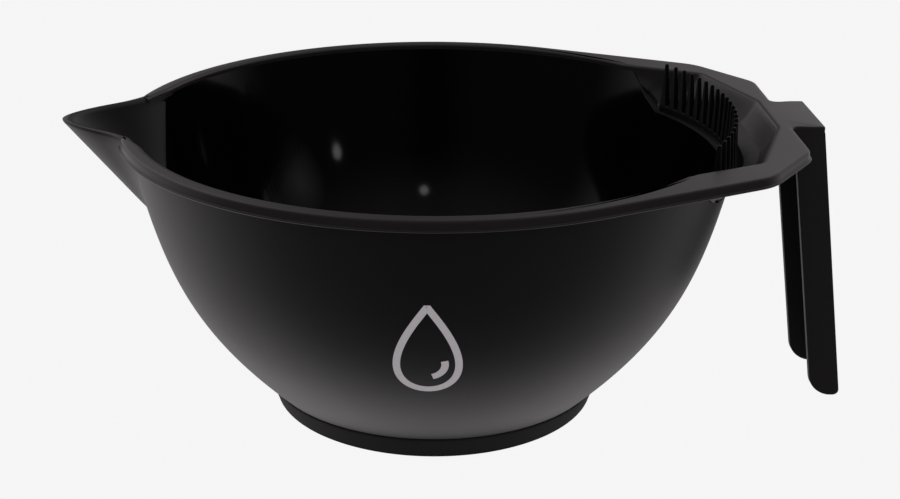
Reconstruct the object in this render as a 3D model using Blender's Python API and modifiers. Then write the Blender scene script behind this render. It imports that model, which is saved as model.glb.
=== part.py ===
"""Hair color bowl: a moulded tint bowl with a spout, a comb edge and a channel handle.

The bowl stands on z = 0. +X points to the handle, -X to the spout. The bowl is turned about a
vertical axis at x = BOWL_X, placed so that the whole part is centred on the origin.
All sizes are metres. Neighbouring pieces of the moulding keep the gap FIT between them.
"""

import math

import bmesh
import bpy
from mathutils import Vector

MM = 0.001
FIT = 0.3 * MM
MERGE = 0.01 * MM
OVERCUT = 5.0 * MM
SHARP_ANGLE = math.radians(35.0)

# Overall reach from the bowl's axis, and heights above the table.
SPOUT_REACH = 88.4 * MM
HANDLE_REACH = 101.3 * MM
BOWL_X = (SPOUT_REACH - HANDLE_REACH) / 2
RIM_TOP = 71.0 * MM

# Rim.
RIM_RADIUS = 75.0 * MM
RIM_INNER = 70.6 * MM
RIM_HEIGHT = 2.4 * MM
RIM_BOTTOM = RIM_TOP - RIM_HEIGHT
RIM_EDGE_WIDTH = 1.1 * MM
RIM_EDGE_DROP = 0.3 * MM
RIM_SIDE_STEP = 0.1 * MM
RIM_SIDE_DROP = 1.0 * MM
RIM_BEAD_RISE = 0.4 * MM
RIM_STEPS = 96

# Bowl wall and floor.
WALL = 2.2 * MM
WALL_TOP_RADIUS = 72.6 * MM
WALL_FOOT_RADIUS = 41.4 * MM
WALL_FOOT_Z = 5.6 * MM
WALL_LOWER_PULL = Vector((62.8, 0.0, 26.6)) * MM
WALL_UPPER_PULL = Vector((66.6, 0.0, 40.0)) * MM
WALL_POINTS = 14
WALL_STEPS = 72
FLOOR_RADIUS = 38.6 * MM
FLOOR_BOTTOM = 5.9 * MM
FLOOR_TOP = 8.1 * MM

# Foot: moulded skirt in a soft ring.
RING_TOP_RADIUS = 41.4 * MM
RING_BOTTOM_RADIUS = 39.7 * MM
RING_INNER_RADIUS = 32.6 * MM
RING_TOP = 5.3 * MM
RING_WEB = 1.4 * MM
RING_EDGE = 0.6 * MM
SKIRT_INNER_RADIUS = 35.0 * MM
SKIRT_OUTER_RADIUS = 37.6 * MM

# Pouring spout.
SPOUT_HALF_WIDTH = 17.2 * MM
SPOUT_KEEL_REACH = 68.6 * MM
SPOUT_KEEL_Z = 47.0 * MM
SPOUT_WALL = 2.0 * MM
SPOUT_SHARPNESS = 1.5
SPOUT_ROOT = 62.0 * MM
SPOUT_SHOULDER_DEPTH = 1.5 * MM
SPOUT_LEAST_NOSE = 0.5 * MM
SPOUT_LEAST_HALF = 0.6 * MM
SPOUT_INSET_PULL = 1.3
CHANNEL_LOW_Z = SPOUT_KEEL_Z + 3.0 * MM
SPOUT_LEVELS = 8
SPOUT_SIDE_POINTS = 8

# Handle plate with the brush rest.
PLATE_THICKNESS = 2.4 * MM
PLATE_END_X = 84.2 * MM
PLATE_END_HALF = 30.0 * MM
PLATE_EAR_X = 71.6 * MM
PLATE_EAR_HALF = 48.4 * MM
SCOOP_CORNER_ANGLE = math.radians(41.0)
SCOOP_SIDE_X = 70.7 * MM
SCOOP_SIDE_HALF = 38.0 * MM
SCOOP_END_X = 80.0 * MM
SCOOP_END_HALF = 11.5 * MM
SCOOP_OPENING_START = 40.0 * MM
SCOOP_SHELL = 1.8 * MM
SCOOP_LOW_Z = 62.6 * MM
SCOOP_LOW_SIDE_Z = 64.6 * MM
SCOOP_STEPS = 12
SCOOP_END_ANGLE = math.radians(36.0)
SCOOP_END_SHARE = 0.68
SCOOP_END_DROP = 1.0 * MM
SCOOP_END_STEPS = 4

# Comb on the bowl's edge.
COMB_HALF_ANGLE = math.radians(31.0)
COMB_INNER = 70.2 * MM
COMB_OUTER = 72.0 * MM
COMB_BOTTOM = 61.6 * MM
COMB_ROOT = 63.4 * MM
COMB_TIP = 74.2 * MM
COMB_TEETH = 21
COMB_PITCH = math.radians(3.0)
WINDOW_NEAR = 60.0 * MM
WINDOW_FAR = 100.0 * MM
GAP_ROOT_WIDTH = 1.3 * MM
GAP_TIP_WIDTH = 3.0 * MM

# Channel handle.
HANDLE_HALF = 11.4 * MM
HANDLE_WALL = 2.0 * MM
HANDLE_BOTTOM = 1.0 * MM
HANDLE_TOP_OUTER_X = 91.7 * MM
HANDLE_TOP_INNER_X = 84.6 * MM
HANDLE_LOW_INNER_X = 94.0 * MM
HANDLE_CORNER_RADIUS = 5.0 * MM
HANDLE_CORNER_STEPS = 6


def clear_scene():
    """Remove whatever the file opened with."""
    for old in list(bpy.data.objects):
        bpy.data.objects.remove(old, do_unlink=True)


def make_collection(name):
    """Return a new collection linked to the scene."""
    group = bpy.data.collections.new(name)
    bpy.context.scene.collection.children.link(group)
    return group


def make_material(name, color, roughness):
    """Return a Principled material of one colour."""
    material = bpy.data.materials.new(name)
    material.use_nodes = True
    shader = material.node_tree.nodes["Principled BSDF"]
    shader.inputs["Base Color"].default_value = (*color, 1.0)
    shader.inputs["Roughness"].default_value = roughness
    shader.inputs["Metallic"].default_value = 0.0
    return material


clear_scene()
PARTS = make_collection("hair_color_bowl")
CUTTERS = make_collection("cutters")
BLACK_PLASTIC = (0.012, 0.010, 0.011)
BLACK_RUBBER = (0.006, 0.006, 0.007)


def place(name, mesh, group):
    """Link a mesh as a named object, with its own origin on the bowl's axis."""
    item = bpy.data.objects.new(name, mesh)
    item.location = (BOWL_X, 0.0, 0.0)
    group.objects.link(item)
    if group is CUTTERS:
        item.hide_render = True
        item.display_type = "WIRE"
    return item


def finish(item, color=BLACK_PLASTIC, roughness=0.42):
    """Give a part its own material and smooth shading."""
    item.data.materials.append(make_material(item.name + "_finish", color, roughness))
    item.data.shade_smooth()
    item.data.set_sharp_from_angle(angle=SHARP_ANGLE)


def polar(radius, angle):
    """Point of a circle round the bowl's axis."""
    return radius * math.cos(angle), radius * math.sin(angle)


def turned(name, profile, steps, group):
    """Turn a closed profile of (radius, z) about the bowl's axis.

    The profile runs down its outer side first.
    """
    mesh = bpy.data.meshes.new(name)
    count = len(profile)
    on_axis = abs(profile[0][0]) < MERGE
    links = [(i, i + 1) for i in range(count - 1)]
    if not on_axis:
        links.append((count - 1, 0))
    mesh.from_pydata([(radius, 0.0, z) for radius, z in profile], links, [])
    item = place(name, mesh, group)
    screw = item.modifiers.new("turn", "SCREW")
    screw.axis = "Z"
    screw.angle = math.tau
    screw.steps = steps
    screw.render_steps = steps
    screw.use_merge_vertices = True
    screw.merge_threshold = MERGE
    return item


def prism(name, outline, low, high, group):
    """Extrude a flat outline of (x, y) points between two heights, as a closed mesh."""
    curve = bpy.data.curves.new(name + "_outline", "CURVE")
    curve.dimensions = "2D"
    curve.fill_mode = "BOTH"
    curve.extrude = (high - low) / 2
    spline = curve.splines.new("POLY")
    spline.points.add(len(outline) - 1)
    for point, (x, y) in zip(spline.points, outline):
        point.co = (x, y, 0.0, 1.0)
    spline.use_cyclic_u = True
    flat = bpy.data.objects.new(name + "_outline", curve)
    bpy.context.scene.collection.objects.link(flat)
    bpy.context.view_layer.update()
    depsgraph = bpy.context.evaluated_depsgraph_get()
    mesh = bpy.data.meshes.new_from_object(flat.evaluated_get(depsgraph))
    bpy.data.objects.remove(flat, do_unlink=True)
    work = bmesh.new()
    work.from_mesh(mesh)
    bmesh.ops.remove_doubles(work, verts=work.verts, dist=MERGE)
    bmesh.ops.translate(work, verts=work.verts, vec=(0.0, 0.0, (low + high) / 2))
    bmesh.ops.dissolve_limit(work, angle_limit=0.001, verts=work.verts, edges=work.edges)
    bmesh.ops.recalc_face_normals(work, faces=work.faces)
    work.to_mesh(mesh)
    work.free()
    return place(name, mesh, group)


def hull(name, points, group):
    """Closed convex solid round a set of points."""
    work = bmesh.new()
    for point in points:
        work.verts.new(point)
    bmesh.ops.convex_hull(work, input=work.verts)
    bmesh.ops.recalc_face_normals(work, faces=work.faces)
    mesh = bpy.data.meshes.new(name)
    work.to_mesh(mesh)
    work.free()
    return place(name, mesh, group)


def loft(name, loops, group):
    """Closed solid through a stack of loops with equal point counts."""
    work = bmesh.new()
    rings = [[work.verts.new(point) for point in loop] for loop in loops]
    for lower, upper in zip(rings, rings[1:]):
        for i in range(len(lower)):
            j = (i + 1) % len(lower)
            work.faces.new((lower[i], lower[j], upper[j], upper[i]))
    work.faces.new(rings[0])
    work.faces.new(rings[-1])
    bmesh.ops.recalc_face_normals(work, faces=work.faces)
    mesh = bpy.data.meshes.new(name)
    work.to_mesh(mesh)
    work.free()
    return place(name, mesh, group)


def cut(item, cutter, operation="DIFFERENCE"):
    """Add an exact boolean of a cutter to a part."""
    step = item.modifiers.new(cutter.name, "BOOLEAN")
    step.solver = "EXACT"
    step.operation = operation
    step.object = cutter


def wall_curve():
    """Outer profile of the bowl from rim to foot, as (radius, z) points of a Bezier arc."""
    top = Vector((WALL_TOP_RADIUS, 0.0, RIM_BOTTOM))
    foot = Vector((WALL_FOOT_RADIUS, 0.0, WALL_FOOT_Z))
    points = []
    for i in range(WALL_POINTS):
        t = i / (WALL_POINTS - 1)
        s = 1.0 - t
        pull = 3 * s * s * t * WALL_UPPER_PULL + 3 * s * t * t * WALL_LOWER_PULL
        point = s ** 3 * top + pull + t ** 3 * foot
        points.append((point.x, point.z))
    return points


def offset_curve(points, distance):
    """Shift a falling profile sideways; a positive distance moves it outwards."""
    shifted = []
    for i, (radius, z) in enumerate(points):
        before = points[max(i - 1, 0)]
        after = points[min(i + 1, len(points) - 1)]
        run = Vector((after[0] - before[0], after[1] - before[1])).normalized()
        shifted.append((radius - run.y * distance, z + run.x * distance))
    return shifted


def body_cutter(name, clearance):
    """Solid of the bowl's outer form, grown by a clearance."""
    side = offset_curve(wall_curve(), clearance)
    top = (side[0][0], RIM_TOP + OVERCUT)
    foot = (side[-1][0], 0.0)
    return turned(name, [(0.0, top[1]), top, *side, foot, (0.0, 0.0)], WALL_STEPS, CUTTERS)


def spout_loop(z, inset):
    """One level of the spout's wedge: a rounded V with its open side inside the bowl."""
    rise = (z - SPOUT_KEEL_Z) / (RIM_TOP - SPOUT_KEEL_Z)
    reach = SPOUT_KEEL_REACH + (SPOUT_REACH - SPOUT_KEEL_REACH) * rise - inset * SPOUT_INSET_PULL
    half = max(SPOUT_HALF_WIDTH * rise - inset, SPOUT_LEAST_HALF)
    on_rim = math.sqrt(RIM_RADIUS ** 2 - half ** 2)
    shoulder = min(on_rim - SPOUT_SHOULDER_DEPTH, reach - SPOUT_LEAST_NOSE)
    loop = [(-SPOUT_ROOT, -half, z)]
    for i in range(-SPOUT_SIDE_POINTS, SPOUT_SIDE_POINTS + 1):
        across = i / SPOUT_SIDE_POINTS
        out = shoulder + (reach - shoulder) * (1.0 - abs(across) ** SPOUT_SHARPNESS)
        loop.append((-out, half * across, z))
    loop.append((-SPOUT_ROOT, half, z))
    return loop


def spout_solid(name, inset, low, high, group):
    """Wedge of the spout between two heights."""
    heights = [low + (high - low) * i / SPOUT_LEVELS for i in range(SPOUT_LEVELS + 1)]
    return loft(name, [spout_loop(z, inset) for z in heights], group)


def scoop_corner():
    """Corner where the scoop's straight side leaves the bowl's opening."""
    return polar(RIM_INNER, SCOOP_CORNER_ANGLE)


def scoop_outline(inner_x):
    """Plan of the opening in the handle plate, closed across the bowl at inner_x."""
    corner_x, corner_y = scoop_corner()
    half = [(inner_x, corner_y), (corner_x, corner_y), (SCOOP_SIDE_X, SCOOP_SIDE_HALF)]
    half.append((SCOOP_END_X, SCOOP_END_HALF))
    return half + [(x, -y) for x, y in reversed(half)]


def comb_window(name, margin):
    """Wedge that takes the bowl wall away behind the comb, with leaning ends."""
    points = []
    for radius in (WINDOW_NEAR, WINDOW_FAR):
        for side in (-1.0, 1.0):
            x, y = polar(radius, COMB_HALF_ANGLE)
            points.append((x, side * (y + margin), COMB_BOTTOM - FIT))
            x, y = polar(radius, SCOOP_CORNER_ANGLE)
            points.append((x, side * (y + margin), RIM_TOP))
            points.append((x, side * (y + margin), RIM_TOP + OVERCUT))
    return hull(name, points, CUTTERS)


def make_bowl_wall():
    """Turned wall of the bowl, open at the spout and at the comb."""
    outer = wall_curve()
    inner = offset_curve(outer, -WALL)
    inner[0] = (WALL_TOP_RADIUS - WALL, RIM_BOTTOM)
    top = [(radius, RIM_BOTTOM - FIT) for radius, _ in (inner[0], outer[0])]
    low = [(FLOOR_RADIUS + FIT, WALL_FOOT_Z), (FLOOR_RADIUS + FIT, FLOOR_TOP)]
    rising = [point for point in reversed(inner[1:]) if point[0] > FLOOR_RADIUS + WALL / 2]
    item = turned("bowl_wall", [top[1], *outer[1:], *low, *rising, top[0]], WALL_STEPS, PARTS)
    top_z = RIM_TOP + OVERCUT
    cut(item, spout_solid("channel_cutter", SPOUT_WALL, CHANNEL_LOW_Z, top_z, CUTTERS))
    cut(item, comb_window("window_cutter", 0.0))
    finish(item)


def make_bowl_floor():
    """Flat floor inside the wall's lower edge."""
    profile = [(0.0, FLOOR_TOP), (FLOOR_RADIUS, FLOOR_TOP), (FLOOR_RADIUS, FLOOR_BOTTOM)]
    profile.append((0.0, FLOOR_BOTTOM))
    finish(turned("bowl_floor", profile, WALL_STEPS, PARTS))


def make_base_ring():
    """Skirt under the floor that stands in the soft ring's groove."""
    high = WALL_FOOT_Z - FIT
    low = RING_WEB + FIT
    profile = [(SKIRT_OUTER_RADIUS, high), (SKIRT_OUTER_RADIUS, low)]
    profile += [(SKIRT_INNER_RADIUS, low), (SKIRT_INNER_RADIUS, high)]
    finish(turned("base_ring", profile, WALL_STEPS, PARTS))


def make_foot_grip_ring():
    """Soft ring with a groove, its outside tapering to the table."""
    profile = [
        (RING_TOP_RADIUS, RING_TOP),
        (RING_BOTTOM_RADIUS, RING_EDGE),
        (RING_BOTTOM_RADIUS - RING_EDGE, 0.0),
        (RING_INNER_RADIUS + RING_EDGE, 0.0),
        (RING_INNER_RADIUS, RING_EDGE),
        (RING_INNER_RADIUS, RING_TOP),
        (SKIRT_INNER_RADIUS - FIT, RING_TOP),
        (SKIRT_INNER_RADIUS - FIT, RING_WEB),
        (SKIRT_OUTER_RADIUS + FIT, RING_WEB),
        (SKIRT_OUTER_RADIUS + FIT, RING_TOP),
    ]
    finish(turned("foot_grip_ring", profile, WALL_STEPS, PARTS), BLACK_RUBBER, 0.7)


def make_pouring_spout():
    """V-shaped spout: an outer wedge less its channel and the bowl's own form."""
    item = spout_solid("pouring_spout", 0.0, SPOUT_KEEL_Z, RIM_TOP, PARTS)
    top_z = RIM_TOP + OVERCUT
    cut(item, spout_solid("spout_channel_cutter", SPOUT_WALL, CHANNEL_LOW_Z, top_z, CUTTERS))
    cut(item, body_cutter("spout_body_cutter", FIT))
    finish(item)


def rim_profile():
    """Section of the rim: flat top, rounded shoulder, lower bead."""
    return [
        (RIM_INNER, RIM_TOP),
        (RIM_RADIUS - RIM_EDGE_WIDTH, RIM_TOP),
        (RIM_RADIUS - RIM_EDGE_DROP, RIM_TOP - RIM_EDGE_DROP),
        (RIM_RADIUS - RIM_SIDE_STEP, RIM_TOP - RIM_SIDE_DROP),
        (RIM_RADIUS, RIM_BOTTOM + RIM_BEAD_RISE),
        (RIM_RADIUS - RIM_BEAD_RISE, RIM_BOTTOM),
        (RIM_INNER, RIM_BOTTOM),
    ]


def plate_tangent_angle():
    """Angle where the plate's straight edge leaves the rim's circle."""
    distance = math.hypot(PLATE_EAR_X, PLATE_EAR_HALF)
    return math.atan2(PLATE_EAR_HALF, PLATE_EAR_X) + math.acos(RIM_RADIUS / distance)


def make_rim_flanges():
    """Two arcs of the rim, front and rear, between the spout and the handle plate."""
    spout_angle = math.pi - math.asin((SPOUT_HALF_WIDTH + FIT) / RIM_RADIUS)
    plate_angle = plate_tangent_angle()
    middle = (spout_angle + plate_angle) / 2
    reach = 2 * RIM_RADIUS
    for name, side in (("rim_flange_front", -1.0), ("rim_flange_rear", 1.0)):
        item = turned(name, rim_profile(), RIM_STEPS, PARTS)
        corners = [(0.0, 0.0)]
        for angle in (plate_angle, middle, spout_angle):
            x, y = polar(reach, angle)
            corners.append((x, side * y))
        sector = prism(name + "_sector", corners, 0.0, RIM_TOP + OVERCUT, CUTTERS)
        cut(item, sector, "INTERSECT")
        finish(item)


def make_handle_wing():
    """Flat plate that the rim widens into, with the scoop's opening through it."""
    angle = plate_tangent_angle()
    lead = FIT / RIM_RADIUS
    corners = [polar(RIM_RADIUS, angle - lead), (PLATE_EAR_X, PLATE_EAR_HALF)]
    corners.append((PLATE_END_X, PLATE_END_HALF))
    outline = [polar(RIM_INNER, angle - lead), *corners]
    outline += [(x, -y) for x, y in reversed(outline)]
    low = RIM_TOP - PLATE_THICKNESS
    item = prism("handle_wing", outline, low, RIM_TOP, PARTS)
    bore = [(0.0, RIM_TOP + OVERCUT), (RIM_INNER, RIM_TOP + OVERCUT), (RIM_INNER, 0.0), (0.0, 0.0)]
    cut(item, turned("wing_bore_cutter", bore, RIM_STEPS, CUTTERS))
    opening = scoop_outline(SCOOP_OPENING_START)
    cut(item, prism("wing_scoop_cutter", opening, low - OVERCUT, RIM_TOP + OVERCUT, CUTTERS))
    finish(item)


def scoop_edge(share):
    """Point of the scoop's edge at the plate, from its middle (0) to its side corner (1)."""
    end = Vector((SCOOP_END_X, SCOOP_END_HALF))
    corner = Vector((SCOOP_SIDE_X, SCOOP_SIDE_HALF))
    straight = SCOOP_END_HALF / (SCOOP_END_HALF + (corner - end).length)
    if share <= straight:
        return Vector((end.x, end.y * share / straight))
    return end.lerp(corner, (share - straight) / (1.0 - straight))


def scoop_half():
    """Rows from the middle of the scoop to its end wall, as (low, high) points at +Y."""
    high_z = RIM_TOP - PLATE_THICKNESS - FIT
    rows = []
    for i in range(SCOOP_STEPS + 1):
        share = i / SCOOP_STEPS
        low_x, low_y = polar(COMB_OUTER + 2 * FIT, COMB_HALF_ANGLE * share)
        low_z = SCOOP_LOW_Z + (SCOOP_LOW_SIDE_Z - SCOOP_LOW_Z) * share
        high = scoop_edge(share)
        rows.append((Vector((low_x, low_y, low_z)), Vector((high.x, high.y, high_z))))
    side = Vector((SCOOP_SIDE_X, SCOOP_SIDE_HALF))
    corner = Vector(scoop_corner())
    for i in range(1, SCOOP_END_STEPS + 1):
        share = i / SCOOP_END_STEPS
        angle = COMB_HALF_ANGLE + (SCOOP_END_ANGLE - COMB_HALF_ANGLE) * share
        low_x, low_y = polar(WALL_TOP_RADIUS + 2 * FIT, angle)
        low_z = SCOOP_LOW_SIDE_Z + (high_z - SCOOP_END_DROP - SCOOP_LOW_SIDE_Z) * share
        high = side.lerp(corner, SCOOP_END_SHARE * share)
        rows.append((Vector((low_x, low_y, low_z)), Vector((high.x, high.y, high_z))))
    return rows


def scoop_row(drop):
    """Rows across the whole scoop, lowered by a drop."""
    half = [(low - Vector((0, 0, drop)), high - Vector((0, 0, drop))) for low, high in scoop_half()]
    flip = Vector((1.0, -1.0, 1.0))
    return [(low * flip, high * flip) for low, high in reversed(half[1:])] + half


def make_brush_rest():
    """Faceted scoop that slopes from the plate down to the comb."""
    work = bmesh.new()
    layers = []
    for drop in (0.0, SCOOP_SHELL):
        layers.append([[work.verts.new(low), work.verts.new(high)] for low, high in scoop_row(drop)])
    top, under = layers
    for first, second, low_first, low_second in zip(top, top[1:], under, under[1:]):
        work.faces.new((first[0], first[1], second[1], second[0]))
        work.faces.new((low_first[0], low_second[0], low_second[1], low_first[1]))
        work.faces.new((first[0], second[0], low_second[0], low_first[0]))
        work.faces.new((first[1], low_first[1], low_second[1], second[1]))
    for end in (0, -1):
        work.faces.new((top[end][0], top[end][1], under[end][1], under[end][0]))
    bmesh.ops.recalc_face_normals(work, faces=work.faces)
    mesh = bpy.data.meshes.new("brush_rest")
    work.to_mesh(mesh)
    work.free()
    finish(place("brush_rest", mesh, PARTS))


def comb_gap_points(angle):
    """Corners of one gap between two teeth, wider at the tips than at the root."""
    across = Vector((-math.sin(angle), math.cos(angle), 0.0))
    points = []
    for radius in (COMB_INNER - OVERCUT, COMB_OUTER + OVERCUT):
        base = Vector((*polar(radius, angle), 0.0))
        for z, width in ((COMB_ROOT, GAP_ROOT_WIDTH), (COMB_TIP + FIT, GAP_TIP_WIDTH)):
            for side in (-0.5, 0.5):
                points.append(base + across * side * width + Vector((0.0, 0.0, z)))
    return points


def make_brush_comb():
    """Curved strip with pointed teeth that stands on the bowl's edge."""
    profile = [(COMB_OUTER, COMB_TIP), (COMB_OUTER, COMB_BOTTOM)]
    profile += [(COMB_INNER, COMB_BOTTOM), (COMB_INNER, COMB_TIP)]
    item = turned("brush_comb", profile, 2 * RIM_STEPS, PARTS)
    reach = 2 * RIM_RADIUS
    half = COMB_HALF_ANGLE - FIT / COMB_INNER
    corners = [(0.0, 0.0), polar(reach, -half), polar(reach, half)]
    cut(item, prism("comb_sector", corners, 0.0, RIM_TOP + 2 * OVERCUT, CUTTERS), "INTERSECT")
    gaps = bmesh.new()
    for i in range(COMB_TEETH - 1):
        angle = (i - (COMB_TEETH - 2) / 2) * COMB_PITCH
        corners = [gaps.verts.new(point) for point in comb_gap_points(angle)]
        bmesh.ops.convex_hull(gaps, input=corners)
    bmesh.ops.recalc_face_normals(gaps, faces=gaps.faces)
    mesh = bpy.data.meshes.new("comb_gap_cutter")
    gaps.to_mesh(mesh)
    gaps.free()
    cut(item, place("comb_gap_cutter", mesh, CUTTERS))
    finish(item)


def make_handle_bridge():
    """Flat strap from the plate to the top of the handle."""
    near = PLATE_END_X + FIT
    far = HANDLE_TOP_OUTER_X
    outline = [(near, -HANDLE_HALF), (far, -HANDLE_HALF), (far, HANDLE_HALF), (near, HANDLE_HALF)]
    item = prism("handle_bridge", outline, RIM_TOP - PLATE_THICKNESS, RIM_TOP, PARTS)
    finish(item)


def handle_outer_x(z):
    """Outer face of the leaning handle at a height."""
    top = RIM_TOP - PLATE_THICKNESS
    share = (top - z) / (top - HANDLE_BOTTOM)
    return HANDLE_TOP_OUTER_X + (HANDLE_REACH - HANDLE_TOP_OUTER_X) * share


def side_solid(name, outline, y_low, y_high):
    """Extrude an outline of (x, z) points between two depths in y."""
    item = prism(name, [(x, z) for x, z in outline], -y_high, -y_low, PARTS)
    for vertex in item.data.vertices:
        x, z, minus_y = vertex.co
        vertex.co = (x, -minus_y, z)
    return item


def make_handle_cheek(name, y_low, y_high):
    """Side wall of the channel handle, with a rounded lower corner."""
    top = RIM_TOP - PLATE_THICKNESS - FIT
    outline = [(HANDLE_TOP_INNER_X, top), (handle_outer_x(top), top), (HANDLE_REACH, HANDLE_BOTTOM)]
    centre_x = HANDLE_LOW_INNER_X + HANDLE_CORNER_RADIUS
    centre_z = HANDLE_BOTTOM + HANDLE_CORNER_RADIUS
    for i in range(HANDLE_CORNER_STEPS + 1):
        angle = math.pi * (1.5 - 0.5 * i / HANDLE_CORNER_STEPS)
        x = centre_x + HANDLE_CORNER_RADIUS * math.cos(angle)
        outline.append((x, centre_z + HANDLE_CORNER_RADIUS * math.sin(angle)))
    finish(side_solid(name, outline, y_low, y_high))


def make_handle_web():
    """Outer wall of the channel handle, between its cheeks."""
    top = RIM_TOP - PLATE_THICKNESS - FIT
    outline = [(handle_outer_x(top) - HANDLE_WALL, top), (handle_outer_x(top), top)]
    outline += [(HANDLE_REACH, HANDLE_BOTTOM), (HANDLE_REACH - HANDLE_WALL, HANDLE_BOTTOM)]
    half = HANDLE_HALF - HANDLE_WALL - FIT
    finish(side_solid("handle_web", outline, -half, half))


def main():
    """Build every sub-part."""
    make_bowl_wall()
    make_bowl_floor()
    make_base_ring()
    make_foot_grip_ring()
    make_pouring_spout()
    make_rim_flanges()
    make_handle_wing()
    make_brush_rest()
    make_brush_comb()
    make_handle_bridge()
    make_handle_web()
    make_handle_cheek("handle_cheek_front", -HANDLE_HALF, -HANDLE_HALF + HANDLE_WALL)
    make_handle_cheek("handle_cheek_rear", HANDLE_HALF - HANDLE_WALL, HANDLE_HALF)


main()
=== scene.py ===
"""Looks of a black hair color bowl: turned body, spout, rim with plate, comb, handle and soft foot.

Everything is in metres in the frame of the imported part: +X points to the handle, +Z up, and the
bowl stands on z = 0. The bowl is turned about a vertical axis, whose place is read from the frame.
"""

import logging
import math
from dataclasses import dataclass
from enum import Enum
from typing import Callable, Dict, List, Sequence, Tuple

import bmesh
import bpy
from mathutils import Matrix, Vector


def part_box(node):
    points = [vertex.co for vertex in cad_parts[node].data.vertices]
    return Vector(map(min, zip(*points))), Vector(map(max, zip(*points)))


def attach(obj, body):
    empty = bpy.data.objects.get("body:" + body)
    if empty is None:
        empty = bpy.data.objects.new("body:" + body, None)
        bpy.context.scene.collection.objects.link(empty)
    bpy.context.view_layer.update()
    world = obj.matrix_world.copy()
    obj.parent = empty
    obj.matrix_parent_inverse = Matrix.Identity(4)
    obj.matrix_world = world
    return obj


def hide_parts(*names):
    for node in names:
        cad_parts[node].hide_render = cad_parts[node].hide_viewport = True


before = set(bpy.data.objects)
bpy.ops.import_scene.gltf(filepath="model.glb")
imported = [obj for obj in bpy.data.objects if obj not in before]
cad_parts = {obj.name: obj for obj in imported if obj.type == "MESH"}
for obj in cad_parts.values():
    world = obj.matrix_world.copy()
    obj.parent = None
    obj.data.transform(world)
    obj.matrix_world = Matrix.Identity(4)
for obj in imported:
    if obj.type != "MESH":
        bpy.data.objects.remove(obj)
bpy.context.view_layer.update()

LOG = logging.getLogger("tint_bowl")
MM = 0.001
WELD = 0.002 * MM

NOISE_MIDDLE = 0.5
NOISE_ROUGHNESS = 0.55
CLOUD_SIZE = 22.0 * MM
FINE_SHARE = 0.5
SHELL_SMOOTH = 32.0
PIECE_SMOOTH = 38.0
SMALL_SMOOTH = 40.0
RING_SMOOTH = 50.0
ROUND_PROFILE = 0.5

Point2 = Tuple[float, float]
Colour = Tuple[float, float, float]

AXIS_X = sum(corner.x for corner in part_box("foot_grip_ring")) / 2
RIM_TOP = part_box("rim_flange_front")[1].z
RIM_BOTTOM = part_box("rim_flange_front")[0].z
RIM_RADIUS = -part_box("rim_flange_front")[0].y
FOOT_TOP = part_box("foot_grip_ring")[1].z
FOOT_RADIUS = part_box("foot_grip_ring")[1].y
COMB_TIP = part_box("brush_comb")[1].z
COMB_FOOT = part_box("brush_comb")[0].z
SPOUT_TIP = AXIS_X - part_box("pouring_spout")[0].x
SPOUT_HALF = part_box("pouring_spout")[1].y
SPOUT_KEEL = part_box("pouring_spout")[0].z
HANDLE_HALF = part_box("handle_bridge")[1].y


class Slot(Enum):
    """Material slots of the record."""

    BLACK_PLASTIC = "black_plastic"
    FOOT_RUBBER = "foot_rubber"


class Side(Enum):
    """Material index of the faces on each side of the bowl's wall."""

    INSIDE = 0
    OUTSIDE = 1


class RimFace(Enum):
    """Material index of the faces of the rim and plate, and of the rest's low part, which carries
    painted shade.
    """

    RIM = 0
    POCKET = 1


# ---------------------------------------------------------------- shader helpers


class Signal:
    """One output socket of a node tree, on which Python's operators add Math nodes."""

    def __init__(self, board: "NodeBoard", socket: bpy.types.NodeSocket) -> None:
        """Wrap a socket of a board."""
        self.board = board
        self.socket = socket

    def _math(self, operation: str, *values: object) -> "Signal":
        """Return the result of a Math node on the values."""
        return self.board.add("ShaderNodeMath", {"operation": operation}, dict(enumerate(values)))

    def __add__(self, other: object) -> "Signal":
        """Add."""
        return self._math("ADD", self, other)

    __radd__ = __add__

    def __sub__(self, other: object) -> "Signal":
        """Subtract."""
        return self._math("SUBTRACT", self, other)

    def __rsub__(self, other: object) -> "Signal":
        """Subtract from a number."""
        return self._math("SUBTRACT", other, self)

    def __mul__(self, other: object) -> "Signal":
        """Multiply."""
        return self._math("MULTIPLY", self, other)

    __rmul__ = __mul__


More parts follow.
